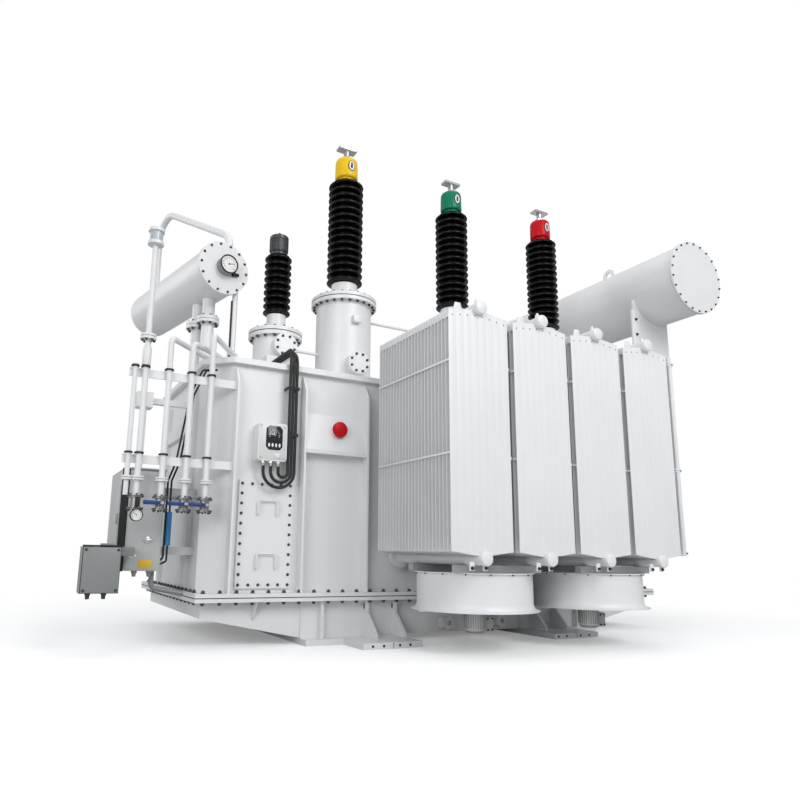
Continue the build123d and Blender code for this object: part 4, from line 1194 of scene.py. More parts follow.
@dataclass
class Bushings:
    """The high-voltage row and the neutral bushing with turrets, caps and terminals."""

    finishes: Finishes
    fasteners: Fasteners
    row_y: float = -0.295
    xs: tuple[float, float, float] = (-0.850, 0.4225, 1.695)
    cover: float = 2.130
    flange_low: float = 2.960
    flange_top: float = 3.030
    shed_base: float = 3.195
    cap_base: float = 4.272
    pad_top: float = 4.661
    neutral_x: float = -1.530
    neutral_flange: tuple[float, float] = (2.530, 2.600)
    neutral_shed_base: float = 2.7655
    neutral_cap_base: float = 3.346
    neutral_ribs: int = 20
    cap_profile: Profile = (
        (0, 0), (0.088, 0), (0.088, 0.038), (0.104, 0.042), (0.111, 0.050), (0.113, 0.062), (0.110, 0.215),
        (0.107, 0.236), (0.099, 0.250), (0.085, 0.257), (0, 0.260),
    )
    neutral_profile: Profile = (
        (0, 0), (0.070, 0), (0.070, 0.030), (0.080, 0.034), (0.080, 0.150), (0.087, 0.155), (0.087, 0.182),
        (0.080, 0.190), (0.008, 0.190), (0.008, 0.235), (0, 0.235),
    )
    port_profile: Profile = ((0, 0.020), (0.102, 0.020), (0.108, 0.014), (0.108, 0), (0, 0))
    port_reach: float = 0.060
    seam_half: float = 0.004
    gas_runs: tuple[Triple, ...] = (
        (-0.5895, 0.162, 2.877), (0.683, 1.4345, 2.877), (-1.3345, -1.1105, 2.470),
    )
    gas_radius: float = 0.0135

    def insulators(self) -> None:
        """Turn the four insulators."""
        glaze = self.finishes.glaze
        for i, x in enumerate(self.xs):
            Insulator(
                f"hv_insulator_{i + 1}", x, self.row_y, self.shed_base,
                sheds=15, pitch=0.0718, tip=0.171, root=0.112,
            ).build(glaze)
        Insulator(
            "neutral_insulator", self.neutral_x, self.row_y, self.neutral_shed_base,
            sheds=9, pitch=0.0645, tip=0.123, root=0.080,
        ).build(glaze)

    def caps(self) -> None:
        """Turn the coloured caps and set a sight glass in each."""
        rims, panes, marks, nuts = (Form() for _ in range(4))
        f = self.finishes
        colours = ((f.yellow, Slot.YELLOW), (f.green, Slot.GREEN), (f.red, Slot.RED))
        for i, (x, (finish, slot)) in enumerate(zip(self.xs, colours)):
            number = i + 1
            Form().turned(self.cap_profile, (x, self.row_y, self.cap_base), steps=56).piece(
                f"phase_cap_{number}", finish, slot, replaces=(f"hv_cap_{number}",)
            )
            face = Vector((x, self.row_y - 0.107, self.cap_base + 0.150))
            panes.oval(face, FRONT, 0.056, 0.100, 0.010)
            marks.oval(face + Vector((0, -0.010, 0)), FRONT, 0.022, 0.070, 0.002)
            rims.oval(face + Vector((0, 0.003, 0)), FRONT, 0.068, 0.114, 0.010)
            nuts.rod((x, self.row_y, self.cap_base + 0.258), (x, self.row_y, self.cap_base + 0.292), 0.052, 6)
            for dx in (-0.070, 0.070):
                for dy in (-0.024, 0.024):
                    self.fasteners.one(nuts, (x + dx, self.row_y + dy, self.pad_top), UP, 0.018)
        panes.piece("sight_glass_frames", f.ivory, Slot.WHITE)
        marks.piece("sight_glass_marks", f.gasket, Slot.GAUGE)
        rims.piece("sight_glass_rims", f.gasket, Slot.GAUGE)
        nuts.piece("terminal_nuts", f.aluminium, Slot.ALUMINIUM)

    def neutral_cap(self) -> None:
        """Turn the neutral's ribbed dark cap."""
        base = (self.neutral_x, self.row_y, self.neutral_cap_base)
        form = Form().turned(self.neutral_profile, base, steps=40)
        rib = Form().block((0.078, -0.005, 0.040), (0.087, 0.005, 0.156), 0.002).pattern("cap_rib")
        form.stamp(rib, [
            Matrix.Translation(base) @ Matrix.Rotation(math.tau * k / self.neutral_ribs, 4, "Z")
            for k in range(self.neutral_ribs)
        ])
        form.piece("neutral_ribbed_cap", self.finishes.dark_grey, Slot.GREY, replaces=("neutral_cap",))

    def dress_turret(self, stand: Turret, rings: Form, seams: Form, bolts: Form) -> None:
        """Add one turret's paired flange, foot ring, collar ring and blanked port.

        Args:
            stand: the turret's sizes.
            rings: form that takes the painted rings.
            seams: form that takes the gaskets.
            bolts: form that takes the bolts.
        """
        f = self.fasteners
        x, y, edge = stand.x, self.row_y, stand.edge
        axis = (x, y, 0)
        middle = (stand.low + stand.top) / 2
        seam_low, seam_top = middle - self.seam_half, middle + self.seam_half
        rings.ring(edge + 0.002, edge - 0.02, stand.low - 0.001, seam_low, axis, UP, 64)
        rings.ring(edge + 0.002, edge - 0.02, seam_top, stand.top + 0.001, axis, UP, 64)
        seams.ring(edge + 0.0008, edge - 0.02, seam_low, seam_top, axis, UP, 64)
        for z, way in ((stand.top, UP), (stand.low, DOWN)):
            bolts.stamp(f.bolt, f.circle((x, y, z), way, edge - 0.024, stand.bolts, 0.023))
        rings.ring(stand.wall + 0.042, stand.wall - 0.002, 0, 0.022, (x, y, self.cover), UP, 56)
        foot = (x, y, self.cover + 0.022)
        bolts.stamp(f.bolt, f.circle(foot, UP, stand.wall + 0.024, stand.bolts - 4, 0.022))
        rings.ring(stand.collar + 0.042, stand.collar - 0.002, 0, 0.024, (x, y, stand.top), UP, 48)
        bolts.stamp(f.bolt, f.circle((x, y, stand.top + 0.024), UP, stand.collar + 0.022, 12, 0.020))
        port = (x, y - stand.wall - self.port_reach, stand.port_z)
        rings.turned(self.port_profile, port, FRONT, 40)
        seams.ring(0.1035, 0.09, -0.004, 0.0, port, FRONT, 40)
        blank = (port[0], port[1] - 0.020, stand.port_z)
        bolts.stamp(f.bolt, f.circle(blank, FRONT, 0.083, 8, 0.020, 22.5))

    def turrets(self) -> None:
        """Add flanges, seams, blanking plates and their bolts to the turrets."""
        rings, seams, bolts = (Form() for _ in range(3))
        stands = [
            Turret(x, self.flange_low, self.flange_top, 0.3075, 0.260, 24, 0.125, 2.350) for x in self.xs
        ]
        stands.append(Turret(self.neutral_x, *self.neutral_flange, 0.237, 0.195, 16, 0.085, 2.420))
        for stand in stands:
            self.dress_turret(stand, rings, seams, bolts)
        rings.block((-0.895, -0.600, 2.740), (-0.815, -0.548, 2.810), 0.006)
        rings.piece("turret_flanges", self.finishes.white, Slot.WHITE)
        seams.piece("turret_gaskets", self.finishes.gasket, Slot.RUBBER)
        bolts.piece("turret_bolts", self.finishes.bolt, Slot.STEEL)

    def gas_pipes(self) -> None:
        """Run the thin gas pipes along the turrets."""
        form = Form()
        for start, end, z in self.gas_runs:
            form.tube([(start, self.row_y, z), (end, self.row_y, z)], self.gas_radius, 0.03)
        form.piece("turret_gas_pipes", self.finishes.pipe, Slot.WHITE)

    def build(self) -> None:
        """Make the bushings."""
        self.insulators()
        self.caps()
        self.neutral_cap()
        self.turrets()
        self.gas_pipes()


@dataclass
class Dial:
    """A round gauge with bezel, face, ticks and needle."""

    name: str
    centre: Point
    axis: Point
    radius: float
    ticks: int = 11
    needle_turn: float = 40.0
    sweep: float = 250.0
    bezel: Profile = ((0.90, 0), (1.04, 0), (1.04, 0.008), (0.99, 0.012), (0.93, 0.009), (0.90, 0))
    face: Profile = ((0, 0.002), (0.92, 0.002), (0.92, -0.002), (0, -0.002))

    def disc(self, profile: Profile) -> Form:
        """Turn a profile whose radii are shares of the dial's own."""
        return Form().turned([(self.radius * r, h) for r, h in profile], self.centre, self.axis, 48)

    def build(self, f: Finishes) -> None:
        """Make the dial.

        Args:
            f: the finishes.
        """
        self.disc(self.bezel).piece(f"{self.name}_bezel", f.gasket, Slot.GAUGE)
        self.disc(self.face).piece(f"{self.name}_face", f.ivory, Slot.WHITE)
        marks = Form()
        turn = Vector(self.axis).to_track_quat("Z", "Y").to_matrix().to_4x4()
        seat = Matrix.Translation(self.centre) @ turn
        r = self.radius
        tick = Form().block((-r * 0.02, r * 0.58, 0.002), (r * 0.02, r * 0.74, 0.0032)).pattern("dial_tick")
        span = math.radians(self.sweep)
        turns = [span * (k / (self.ticks - 1) - 0.5) for k in range(self.ticks)]
        marks.stamp(tick, [seat @ Matrix.Rotation(t, 4, "Z") for t in turns])
        needle = Form().block((-r * 0.025, -r * 0.16, 0.0034), (r * 0.025, r * 0.56, 0.0048))
        aim = Matrix.Rotation(math.radians(self.needle_turn), 4, "Z")
        marks.stamp(needle.pattern("dial_needle"), [seat @ aim])
        hub = Form().rod((0, 0, 0.002), (0, 0, 0.006), r * 0.08, 16).pattern("dial_hub")
        marks.stamp(hub, [seat])
        marks.piece(f"{self.name}_marks", f.gasket, Slot.GAUGE)


@dataclass
class Conservators:
    """Fittings of the main and the tap-changer conservators."""

    finishes: Finishes
    fasteners: Fasteners
    main_at: Point = (2.850, 0.0, 3.670)
    main_half: float = 1.400
    eye_ys: tuple[float, float] = (-0.26, 0.86)
    strap_low: Point = (2.418, -0.904, 2.420)
    strap_high: Point = (2.541, -0.879, 3.390)
    strap_bolt_x: float = 2.472
    strap_bolt_zs: tuple[float, float] = (3.107, 3.282)
    small_at: Point = (-2.078, -0.430, 3.053)
    small_turn: float = 12.0
    end_reach: float = 0.020
    post_runs: tuple[float, float] = (0.230, 0.430)
    post_flanges: tuple[tuple[float, float], ...] = ((2.612, 2.638), (2.642, 2.668))
    foot_pipe_top: float = 2.896
    lead_top: float = 2.800
    bow_radius: float = 0.033
    bow_bend: float = 0.20
    bow_heights: tuple[float, float, float, float] = (3.2545, 3.401, 4.211, 3.266)
    cover: float = 2.130

    def small_axis(self) -> Vector:
        """Direction out of the small conservator's front end."""
        turn = math.radians(self.small_turn)
        return Vector((math.sin(turn), -math.cos(turn), 0))

    def small_spot(self, run: float, side: float, z: float) -> Vector:
        """A point behind the small conservator's front end.

        Args:
            run: distance behind the front end.
            side: distance to the right of its axis.
            z: height.

        Returns:
            The point.
        """
        out = self.small_axis()
        spot = Vector(self.small_at) - out * run + Vector((-out.y, out.x, 0)) * side
        return Vector((spot.x, spot.y, z))

    def main_tank(self) -> None:
        """Bolt the main conservator's ends and add its lugs."""
        rings, seams, bolts = (Form() for _ in range(3))
        f = self.fasteners
        x, _, z = self.main_at
        half = self.main_half
        for side in (-1, 1):
            out = (0, side, 0)
            rings.ring(0.402, 0.384, half - 0.044, half - 0.024, (x, 0, z), out, 72)
            seams.ring(0.4005, 0.384, half - 0.024, half - 0.0195, (x, 0, z), out, 72)
            bolts.stamp(f.bolt, f.circle((x, side * half, z), out, 0.386, 22, 0.018))
        for y in self.eye_ys:
            rings.ring(0.085, 0.042, -0.012, 0.012, (x, y, z + 0.450), (1, 0, 0), 32)
            rings.block((x - 0.012, y - 0.110, z + 0.374), (x + 0.012, y + 0.110, z + 0.408), 0.003)
        rings.block(self.strap_low, self.strap_high, 0.004)
        for height in self.strap_bolt_zs:
            f.one(bolts, (self.strap_bolt_x, self.strap_low[1], height), FRONT, 0.026)
        rings.piece("conservator_flanges", self.finishes.white, Slot.WHITE)
        seams.piece("conservator_gaskets", self.finishes.gasket, Slot.RUBBER)
        bolts.piece("conservator_bolts", self.finishes.bolt, Slot.STEEL)

    def vent_bow(self, front_leg: Vector) -> None:
        """Bend the vent pipe over the small conservator.

        Args:
            front_leg: foot of its front leg.
        """
        _, front_top, rear_top, rear_foot = self.bow_heights
        rear_leg = self.small_spot(1.480, 0, rear_foot)
        route = [
            front_leg, (front_leg.x, front_leg.y, front_top), (rear_leg.x, rear_leg.y, rear_top), rear_leg,
        ]
        vent = Form().tube(route, self.bow_radius, self.bow_bend, 24, 12)
        vent.ring(0.050, 0.0295, 0.030, 0.048, rear_leg, UP, 32)
        vent.piece("vent_bow", self.finishes.pipe, Slot.WHITE, replaces=("vent_pipe",))

    def level_dial(self, face: Vector, out: Vector) -> None:
        """Set the oil level dial and its plug on the small conservator's end.

        Args:
            face: middle of the end's outer face.
            out: direction out of it.
        """
        across = Vector((-out.y, out.x, 0))
        dial = face + across * 0.008 + Vector((0, 0, 0.012)) + out * 0.070
        Dial("level_dial", tuple(dial), tuple(out), 0.080, needle_turn=-75).build(self.finishes)
        plug = face + across * 0.086 + Vector((0, 0, -0.040))
        knee = plug + out * 0.018
        form = Form().rod(plug, plug + out * 0.030, 0.018, 20, round_by=0.003)
        form.rod(knee, knee + across * 0.045, 0.014, 16, round_by=0.003)
        form.piece("level_gauge_plug", self.finishes.gasket, Slot.GAUGE)

    def small_tank(self) -> None:
        """Bolt the small conservator's front, dress its posts and pipes and set its dial."""
        rings, seams, bolts = (Form() for _ in range(3))
        f = self.fasteners
        out = self.small_axis()
        face = Vector(self.small_at) + out * self.end_reach
        bolts.stamp(f.bolt, f.circle(face, out, 0.212, 14, 0.018, 12))
        rings.ring(0.233, 0.2165, -0.020, -0.002, self.small_at, out, 64)
        seams.ring(0.2315, 0.2165, -0.003, 0.0005, self.small_at, out, 64)
        joint_low, joint_top = self.post_flanges[0][0], self.post_flanges[-1][1]
        for run in self.post_runs:
            spot = self.small_spot(run, 0, 0)
            for low, high in self.post_flanges:
                rings.ring(0.098, 0.053, low, high, spot, UP, 40)
            bolts.stamp(f.bolt, f.circle((spot.x, spot.y, joint_top), UP, 0.078, 8, 0.022))
            bolts.stamp(f.bolt, f.circle((spot.x, spot.y, joint_low), DOWN, 0.078, 8, 0.022))
            bolts.stamp(f.bolt, f.circle((spot.x, spot.y, self.cover + 0.030), UP, 0.085, 8, 0.022, 22.5))
        foot = self.small_spot(0.040, 0.150, self.cover)
        rings.tube([foot, (foot.x, foot.y, self.foot_pipe_top)], 0.024, 0.05, 20)
        rings.ring(0.050, 0.022, 0, 0.016, foot, UP, 32)
        rings.ring(0.046, 0.022, 0.18, 0.20, foot, UP, 32)
        bolts.stamp(f.bolt, f.circle((foot.x, foot.y, self.cover + 0.016), UP, 0.038, 4, 0.016))
        front_leg = self.small_spot(0.060, 0.080, self.bow_heights[0])
        self.vent_bow(front_leg)
        lead_x, lead_y = foot.x - 0.030, foot.y - 0.012
        lead = Form().tube([(lead_x, lead_y, self.cover), (lead_x, lead_y, self.lead_top)], 0.008, 0.03, 12)
        lead.piece("conservator_lead", self.finishes.rubber, Slot.RUBBER)
        rings.ring(0.048, 0.0295, 0, 0.018, front_leg, UP, 32)
        rings.piece("small_conservator_flanges", self.finishes.white, Slot.WHITE)
        seams.piece("small_conservator_gasket", self.finishes.gasket, Slot.RUBBER)
        bolts.piece("small_conservator_bolts", self.finishes.bolt, Slot.STEEL)
        self.level_dial(face, out)

    def build(self) -> None:
        """Make both conservators' fittings."""
        self.main_tank()
        self.small_tank()


@dataclass
class TankFittings:
    """Flange bolts, hatch, indicator and the small things on the tank's walls and feet."""

    finishes: Finishes
    fasteners: Fasteners
    half_x: float = 2.300
    half_y: float = 1.020
    flange: Triple = (0.320, 0.350, 0.380)
    side_row: tuple[float, float] = (2.235, 0.975)
    end_row: tuple[float, float] = (2.268, 0.860)
    flange_bolt: float = 0.028
    seam_half: float = 0.003
    seam_skin: float = 0.0006
    hatch_x: float = -1.7775
    hatch_front: float = -0.920
    hatch_z: tuple[float, float] = (0.410, 1.200)
    hatch_margin: float = 0.026
    hatch_bolt: float = 0.018
    handle_heights: tuple[float, float] = (1.000, 0.607)
    handle_line: tuple[Point, ...] = (
        (-0.066, 0.004, -0.054), (-0.066, -0.026, -0.054), (-0.066, -0.026, 0.054),
        (0.086, -0.026, 0.054), (0.086, -0.026, -0.054), (0.086, 0.004, -0.054),
    )
    indicator_front: float = -1.010
    window_shift: float = 0.010
    window_z: float = 1.520
    window_half: tuple[float, float] = (0.066, 0.093)
    window_cut: float = 0.024
    window_depth: float = 0.007
    gland_y: float = -0.985
    gland_pitch: float = 0.060
    gland_heights: Triple = (1.345, 1.331, 1.308)
    gland_radii: Triple = (0.021, 0.0165, 0.0145)
    red_cap_at: Point = (-1.200, -0.970, 1.646)
    red_cap_profile: Profile = (
        (0, 0.030), (0.052, 0.030), (0.060, 0.026), (0.064, 0.018), (0.064, 0.004), (0.058, 0),
        (0.056, -0.004), (0, -0.004),
    )
    clip_heights: tuple[float, float] = (1.560, 1.930)
    clip_half: float = 0.012
    clip_front: float = -1.000
    foot_mark_xs: tuple[float, ...] = (-1.079, -0.988, -0.853, -0.763, 0.700, 0.790, 0.950, 1.050)
    foot_mark_ys: tuple[float, float] = (1.3395, 1.3408)
    foot_mark_z: float = 0.022
    slot_xs: tuple[float, float] = (-0.9235, -0.6685)
    eye_xs: tuple[float, float] = (-0.155, 0.400)

    def flange_bolts(self) -> None:
        """Bolt the tank's flange all the way round and draw its seam."""
        f = self.fasteners
        bolts, seam = Form(), Form()
        low, middle, top = self.flange
        run, row_y = self.side_row
        row_x, cross = self.end_row
        for z, axis in ((top, UP), (low, DOWN)):
            for y in (-row_y, row_y):
                bolts.stamp(f.bolt, f.row((-run, y, z), (run, y, z), 38, axis, self.flange_bolt))
            for x in (-row_x, row_x):
                bolts.stamp(f.bolt, f.row((x, -cross, z), (x, cross, z), 15, axis, self.flange_bolt))
        bolts.piece("tank_flange_bolts", self.finishes.bolt, Slot.STEEL)
        skin = self.seam_skin
        seam_low, seam_top = middle - self.seam_half, middle + self.seam_half
        for y in (-self.half_y, self.half_y):
            seam.block((-self.half_x, y - skin, seam_low), (self.half_x, y + skin, seam_top))
        for x in (-self.half_x, self.half_x):
            seam.block((x - skin, -self.half_y, seam_low), (x + skin, self.half_y, seam_top))
        seam.piece("tank_flange_gasket", self.finishes.gasket, Slot.RUBBER)

    def hatch(self) -> None:
        """Bolt the hatch cover and hang its two handles."""
        f = self.fasteners
        bolts, bars = Form(), Form()
        low, high = self.hatch_z[0] + self.hatch_margin, self.hatch_z[1] - self.hatch_margin
        x, y, size = self.hatch_x, self.hatch_front, self.hatch_bolt
        for side in (-0.192, 0.192):
            bolts.stamp(f.bolt, f.row((x + side, y, low), (x + side, y, high), 11, FRONT, size))
        for z in (low, high):
            bolts.stamp(f.bolt, f.row((x - 0.115, y, z), (x + 0.115, y, z), 4, FRONT, size))
        for z in self.handle_heights:
            bars.tube([(x + dx, y + dy, z + dz) for dx, dy, dz in self.handle_line], 0.006, 0.014, 12, 4)
        bolts.piece("hatch_bolts", self.finishes.bolt, Slot.STEEL)
        bars.piece("hatch_handles", self.finishes.white, Slot.WHITE)

    def indicator_window(self, window: Form, marks: Form) -> None:
        """Cut the indicator's eight-sided window and set scale, needles and drum marks on it.

        Args:
            window: form that takes the pane.
            marks: form that takes the marks.
        """
        y, cut = self.indicator_front, self.window_cut
        cx, cz = self.hatch_x + self.window_shift, self.window_z
        left, right = cx - self.window_half[0], cx + self.window_half[0]
        low, high = cz - self.window_half[1], cz + self.window_half[1]
        corners = (
            (left + cut, low), (right - cut, low), (right, low + cut), (right, high - cut),
            (right - cut, high), (left + cut, high), (left, high - cut), (left, low + cut),
        )
        window.slab([(x, y, z) for x, z in corners], (0, -self.window_depth, 0), 0.002)
        pane = y - self.window_depth
        for k in range(4):
            marks.oval((cx - 0.042 + 0.028 * k, pane, cz - 0.056), FRONT, 0.015, 0.030, 0.003)
        seat = Matrix.Translation((cx, pane, cz + 0.022)) @ Matrix.Rotation(math.pi / 2, 4, "X")
        tick = Form().block((-0.0012, 0.034, 0), (0.0012, 0.044, 0.0015)).pattern("indicator_tick")
        needle = Form().block((-0.0016, -0.008, 0.001), (0.0016, 0.033, 0.0026)).pattern("indicator_needle")
        for shape, turns in ((tick, range(-110, 111, 20)), (needle, (70, 15))):
            marks.stamp(shape, [seat @ Matrix.Rotation(math.radians(turn), 4, "Z") for turn in turns])

    def indicator(self) -> None:
        """Set lid, window, pointers and glands on the temperature indicator."""
        x, y = self.hatch_x, self.indicator_front
        window, marks, glands, trim = (Form() for _ in range(4))
        self.indicator_window(window, marks)
        label = x + self.window_shift
        trim.block((x - 0.106, y - 0.004, 1.356), (x + 0.106, y + 0.002, 1.624), 0.0035)
        trim.block((label + 0.005, y - 0.009, 1.368), (label + 0.060, y - 0.003, 1.402), 0.002)
        for k in (-1, 0, 1):
            gland_x = x + self.gland_pitch * k
            self.fasteners.gland(glands, gland_x, self.gland_y, self.gland_heights, self.gland_radii)
        for dx in (-0.094, 0.094):
            for z in (1.368, 1.612):
                self.fasteners.one(glands, (x + dx, y - 0.004, z), FRONT, 0.012)
        trim.piece("indicator_lid", self.finishes.box_white, Slot.WHITE)
        window.piece("indicator_window", self.finishes.glass, Slot.GAUGE)
        marks.piece("indicator_marks", self.finishes.ivory, Slot.WHITE)
        glands.piece("indicator_glands", self.finishes.steel, Slot.STEEL)

    def wall_bits(self) -> None:
        """Round off the red cap and clip the indicator's cables to the wall."""
        Form().turned(self.red_cap_profile, self.red_cap_at, FRONT, 48).piece(
            "red_blanking_cap", self.finishes.red, Slot.RED, replaces=("red_cap",)
        )
        clips = Form()
        front = self.clip_front
        for middle in self.clip_heights:
            low, high = middle - self.clip_half, middle + self.clip_half
            clips.block((-1.660, front, low), (-1.568, front + 0.0015, high))
            for x in (-1.660, -1.5705):
                clips.block((x, front, low), (x + 0.0025, -0.899, high))
        clips.piece("cable_clips", self.finishes.gasket, Slot.RUBBER)

    def foot_bits(self) -> None:
        """Paint the shade of the feet's holes and gusset slots as dark discs, and weld on the pulling eyes.
        """
        dots, eyes = Form(), Form()
        z = self.foot_mark_z
        for x in self.foot_mark_xs:
            for side in (-1, 1):
                near, far = (side * y for y in self.foot_mark_ys)
                dots.rod((x, near, z), (x, far, z), 0.010, 16)
        for x in self.slot_xs:
            dots.oval((x - 0.0126, -0.935, 0.270), (-1, 0, 0), 0.022, 0.050, 0.0006)
        # Thin dark discs and ovals: painted shade standing in for the depth of the foot holes and gusset
        # slots.
        dots.piece("foot_hole_painted_shade", self.finishes.gasket, Slot.GAUGE)
        for x in self.eye_xs:
            for side in (-1, 1):
                eyes.ring(0.055, 0.022, 0, 0.030, (x, side * 0.950, 0.122), (0, side, 0), 32)
                near, far = sorted((side * 0.899, side * 0.952))
                eyes.block((x - 0.05, near, 0.080), (x + 0.05, far, 0.164), 0.004)
        eyes.piece("pulling_eyes", self.finishes.tank, Slot.TANK)

    def build(self) -> None:
        """Make the tank's fittings."""
        self.flange_bolts()
        self.hatch()
        self.indicator()
        self.wall_bits()
        self.foot_bits()


@dataclass
class PipeRack:
    """Unions, clamps, valve bolts, grips and dial of the pipe rack."""

    finishes: Finishes
    fasteners: Fasteners
    y: float = -0.970
    xs: tuple[float, ...] = (-2.805, -2.735, -2.570, -2.408, -2.260)
    pipe: float = 0.021
    thin: float = 0.017
    thin_step: float = 0.004
    wall: float = 0.001
    union_heights: tuple[tuple[float, float], ...] = ((1.142, 1.154), (1.158, 1.170))
    clamp_heights: tuple[float, float] = (1.331, 1.946)
    clamp_half: float = 0.006
    clamp_reach: float = 0.028
    valve_z: float = 0.990
    valve_seam: float = 0.041
    valve_half: float = 0.048
    lever_y: float = -1.0303
    top_flanges: tuple[tuple[float, float], ...] = ((2.146, 2.164), (2.168, 2.186))
    cover: float = 2.130
    cover_flange_top: float = 2.146
    cover_spots: tuple[tuple[float, float], ...] = ((-2.180, -0.560), (-2.120, -0.700), (-1.960, -0.520))
    breather_flanges: tuple[tuple[float, float], ...] = ((2.872, 2.896), (2.974, 2.998))
    breather_radius: float = 0.058
    window_profile: Profile = (
        (0.0455, 2.900), (0.047, 2.902), (0.047, 2.968), (0.0455, 2.970), (0.0455, 2.900),
    )

    def clamp(self, clamps: Form, spot: Point, r: float, z: float) -> None:
        """Clamp one pipe to its bar.

        Args:
            clamps: form that takes the clamp.
            spot: the pipe's place.
            r: the pipe's radius.
            z: the bar's height.
        """
        low, high = z - self.clamp_half, z + self.clamp_half
        clamps.ring(r + 0.010, r - 0.0005, low, high, spot, UP, 28)
        for side in (-1, 1):
            edge = spot[0] + side * r
            near, far = sorted((edge + side * 0.002, edge + side * 0.010))
            clamps.block((near, self.y, low), (far, self.y + self.clamp_reach, high), 0.002)

    def valve(self, clamps: Form, bolts: Form, x: float) -> None:
        """Seam and bolt one ball valve.

        Args:
            clamps: form that takes the seams.
            bolts: form that takes the bolts.
            x: the valve's place.
        """
        f = self.fasteners
        for z in (self.valve_z - self.valve_seam, self.valve_z + self.valve_seam):
            clamps.ring(0.0552, 0.050, z - 0.0022, z + 0.0022, (x, self.y, 0), UP, 32)
        for side, way in ((1, UP), (-1, DOWN)):
            face = (x, self.y, self.valve_z + side * self.valve_half)
            bolts.stamp(f.bolt, f.circle(face, way, 0.042, 6, 0.015, 30))

    def pipe_tops(self, unions: Form, bolts: Form) -> None:
        """Flange the pipes at the cover, the tall pipe and the breather.

        Args:
            unions: form that takes the flanges.
            bolts: form that takes the bolts.
        """
        f = self.fasteners
        tall = self.xs[1]
        axis = (tall, self.y, 0)
        for low, high in self.top_flanges:
            unions.ring(0.055, self.pipe - self.wall, low, high, axis, UP, 36)
        bolts.stamp(f.bolt, f.circle((tall, self.y, self.top_flanges[0][0]), DOWN, 0.042, 6, 0.018))
        unions.rod((tall, self.y, 1.956), (tall, self.y, 2.090), 0.031, 28, round_by=0.004)
        top = self.cover_flange_top
        for x, y in self.cover_spots:
            unions.ring(0.048, self.pipe - self.wall, self.cover, top, (x, y, 0), UP, 32)
            bolts.stamp(f.bolt, f.circle((x, y, top), UP, 0.037, 4, 0.014))
        r = self.breather_radius
        for low, high in self.breather_flanges:
            unions.turned([(0, low), (r, low), (r, high), (0, high)], axis, UP, 40)

    def pipes(self) -> None:
        """Add unions, clamps and bolts along the pipes."""
        unions, clamps, bolts = (Form() for _ in range(3))
        for k, x in enumerate(self.xs):
            thin = k == 0
            r, reach, step = (self.thin, 0.036, self.thin_step) if thin else (self.pipe, 0.045, 0.0)
            spot = (x, self.y + step, 0)
            for low, high in self.union_heights:
                unions.ring(reach, r - self.wall, low, high, spot, UP, 32)
            for z in self.clamp_heights:
                self.clamp(clamps, spot, r, z)
            if not thin:
                self.valve(clamps, bolts, x)
        self.pipe_tops(unions, bolts)
        unions.piece("rack_unions", self.finishes.pipe, Slot.WHITE)
        clamps.piece("rack_clamps", self.finishes.gasket, Slot.RUBBER)
        bolts.piece("rack_bolts", self.finishes.bolt, Slot.STEEL)

    def handles(self) -> None:
        """Set the breather's window, the stop valve's handle and the levers' grips."""
        f = self.finishes
        tall, y, z = self.xs[1], self.lever_y, self.valve_z
        Form().turned(self.window_profile, (tall, self.y, 0), UP, 40).piece(
            "breather_gel_window", f.gel, Slot.BLUE
        )
        stop = Form().block((-2.748, -1.060, 0.955), (-2.722, -1.028, 1.024), 0.005)
        stop.rod((tall, -1.030, z), (tall, -1.010, z), 0.010, 16)
        stop.piece("stop_valve_handle", f.gasket, Slot.GAUGE)
        for x, body in zip(self.xs[2:], (Body.LEVER_1, Body.LEVER_2, Body.LEVER_3)):
            near, far = (x - 0.124, y - 0.0150, z - 0.015), (x - 0.030, y - 0.0004, z + 0.015)
            grip = Form().block(near, far, 0.006, 3)
            grip.piece(f"{body.value}_grip", f.blue, Slot.BLUE, body)
            nut = Form().rod((x, y - 0.008, z), (x, y - 0.020, z), 0.013, 6)
            nut.piece(f"{body.value}_nut", f.steel, Slot.STEEL, body)
        Dial("pressure_dial", (tall, -1.060, 0.900), FRONT, 0.040, needle_turn=55).build(f)

    def build(self) -> None:
        """Make the rack's fittings."""
        self.pipes()
        self.handles()


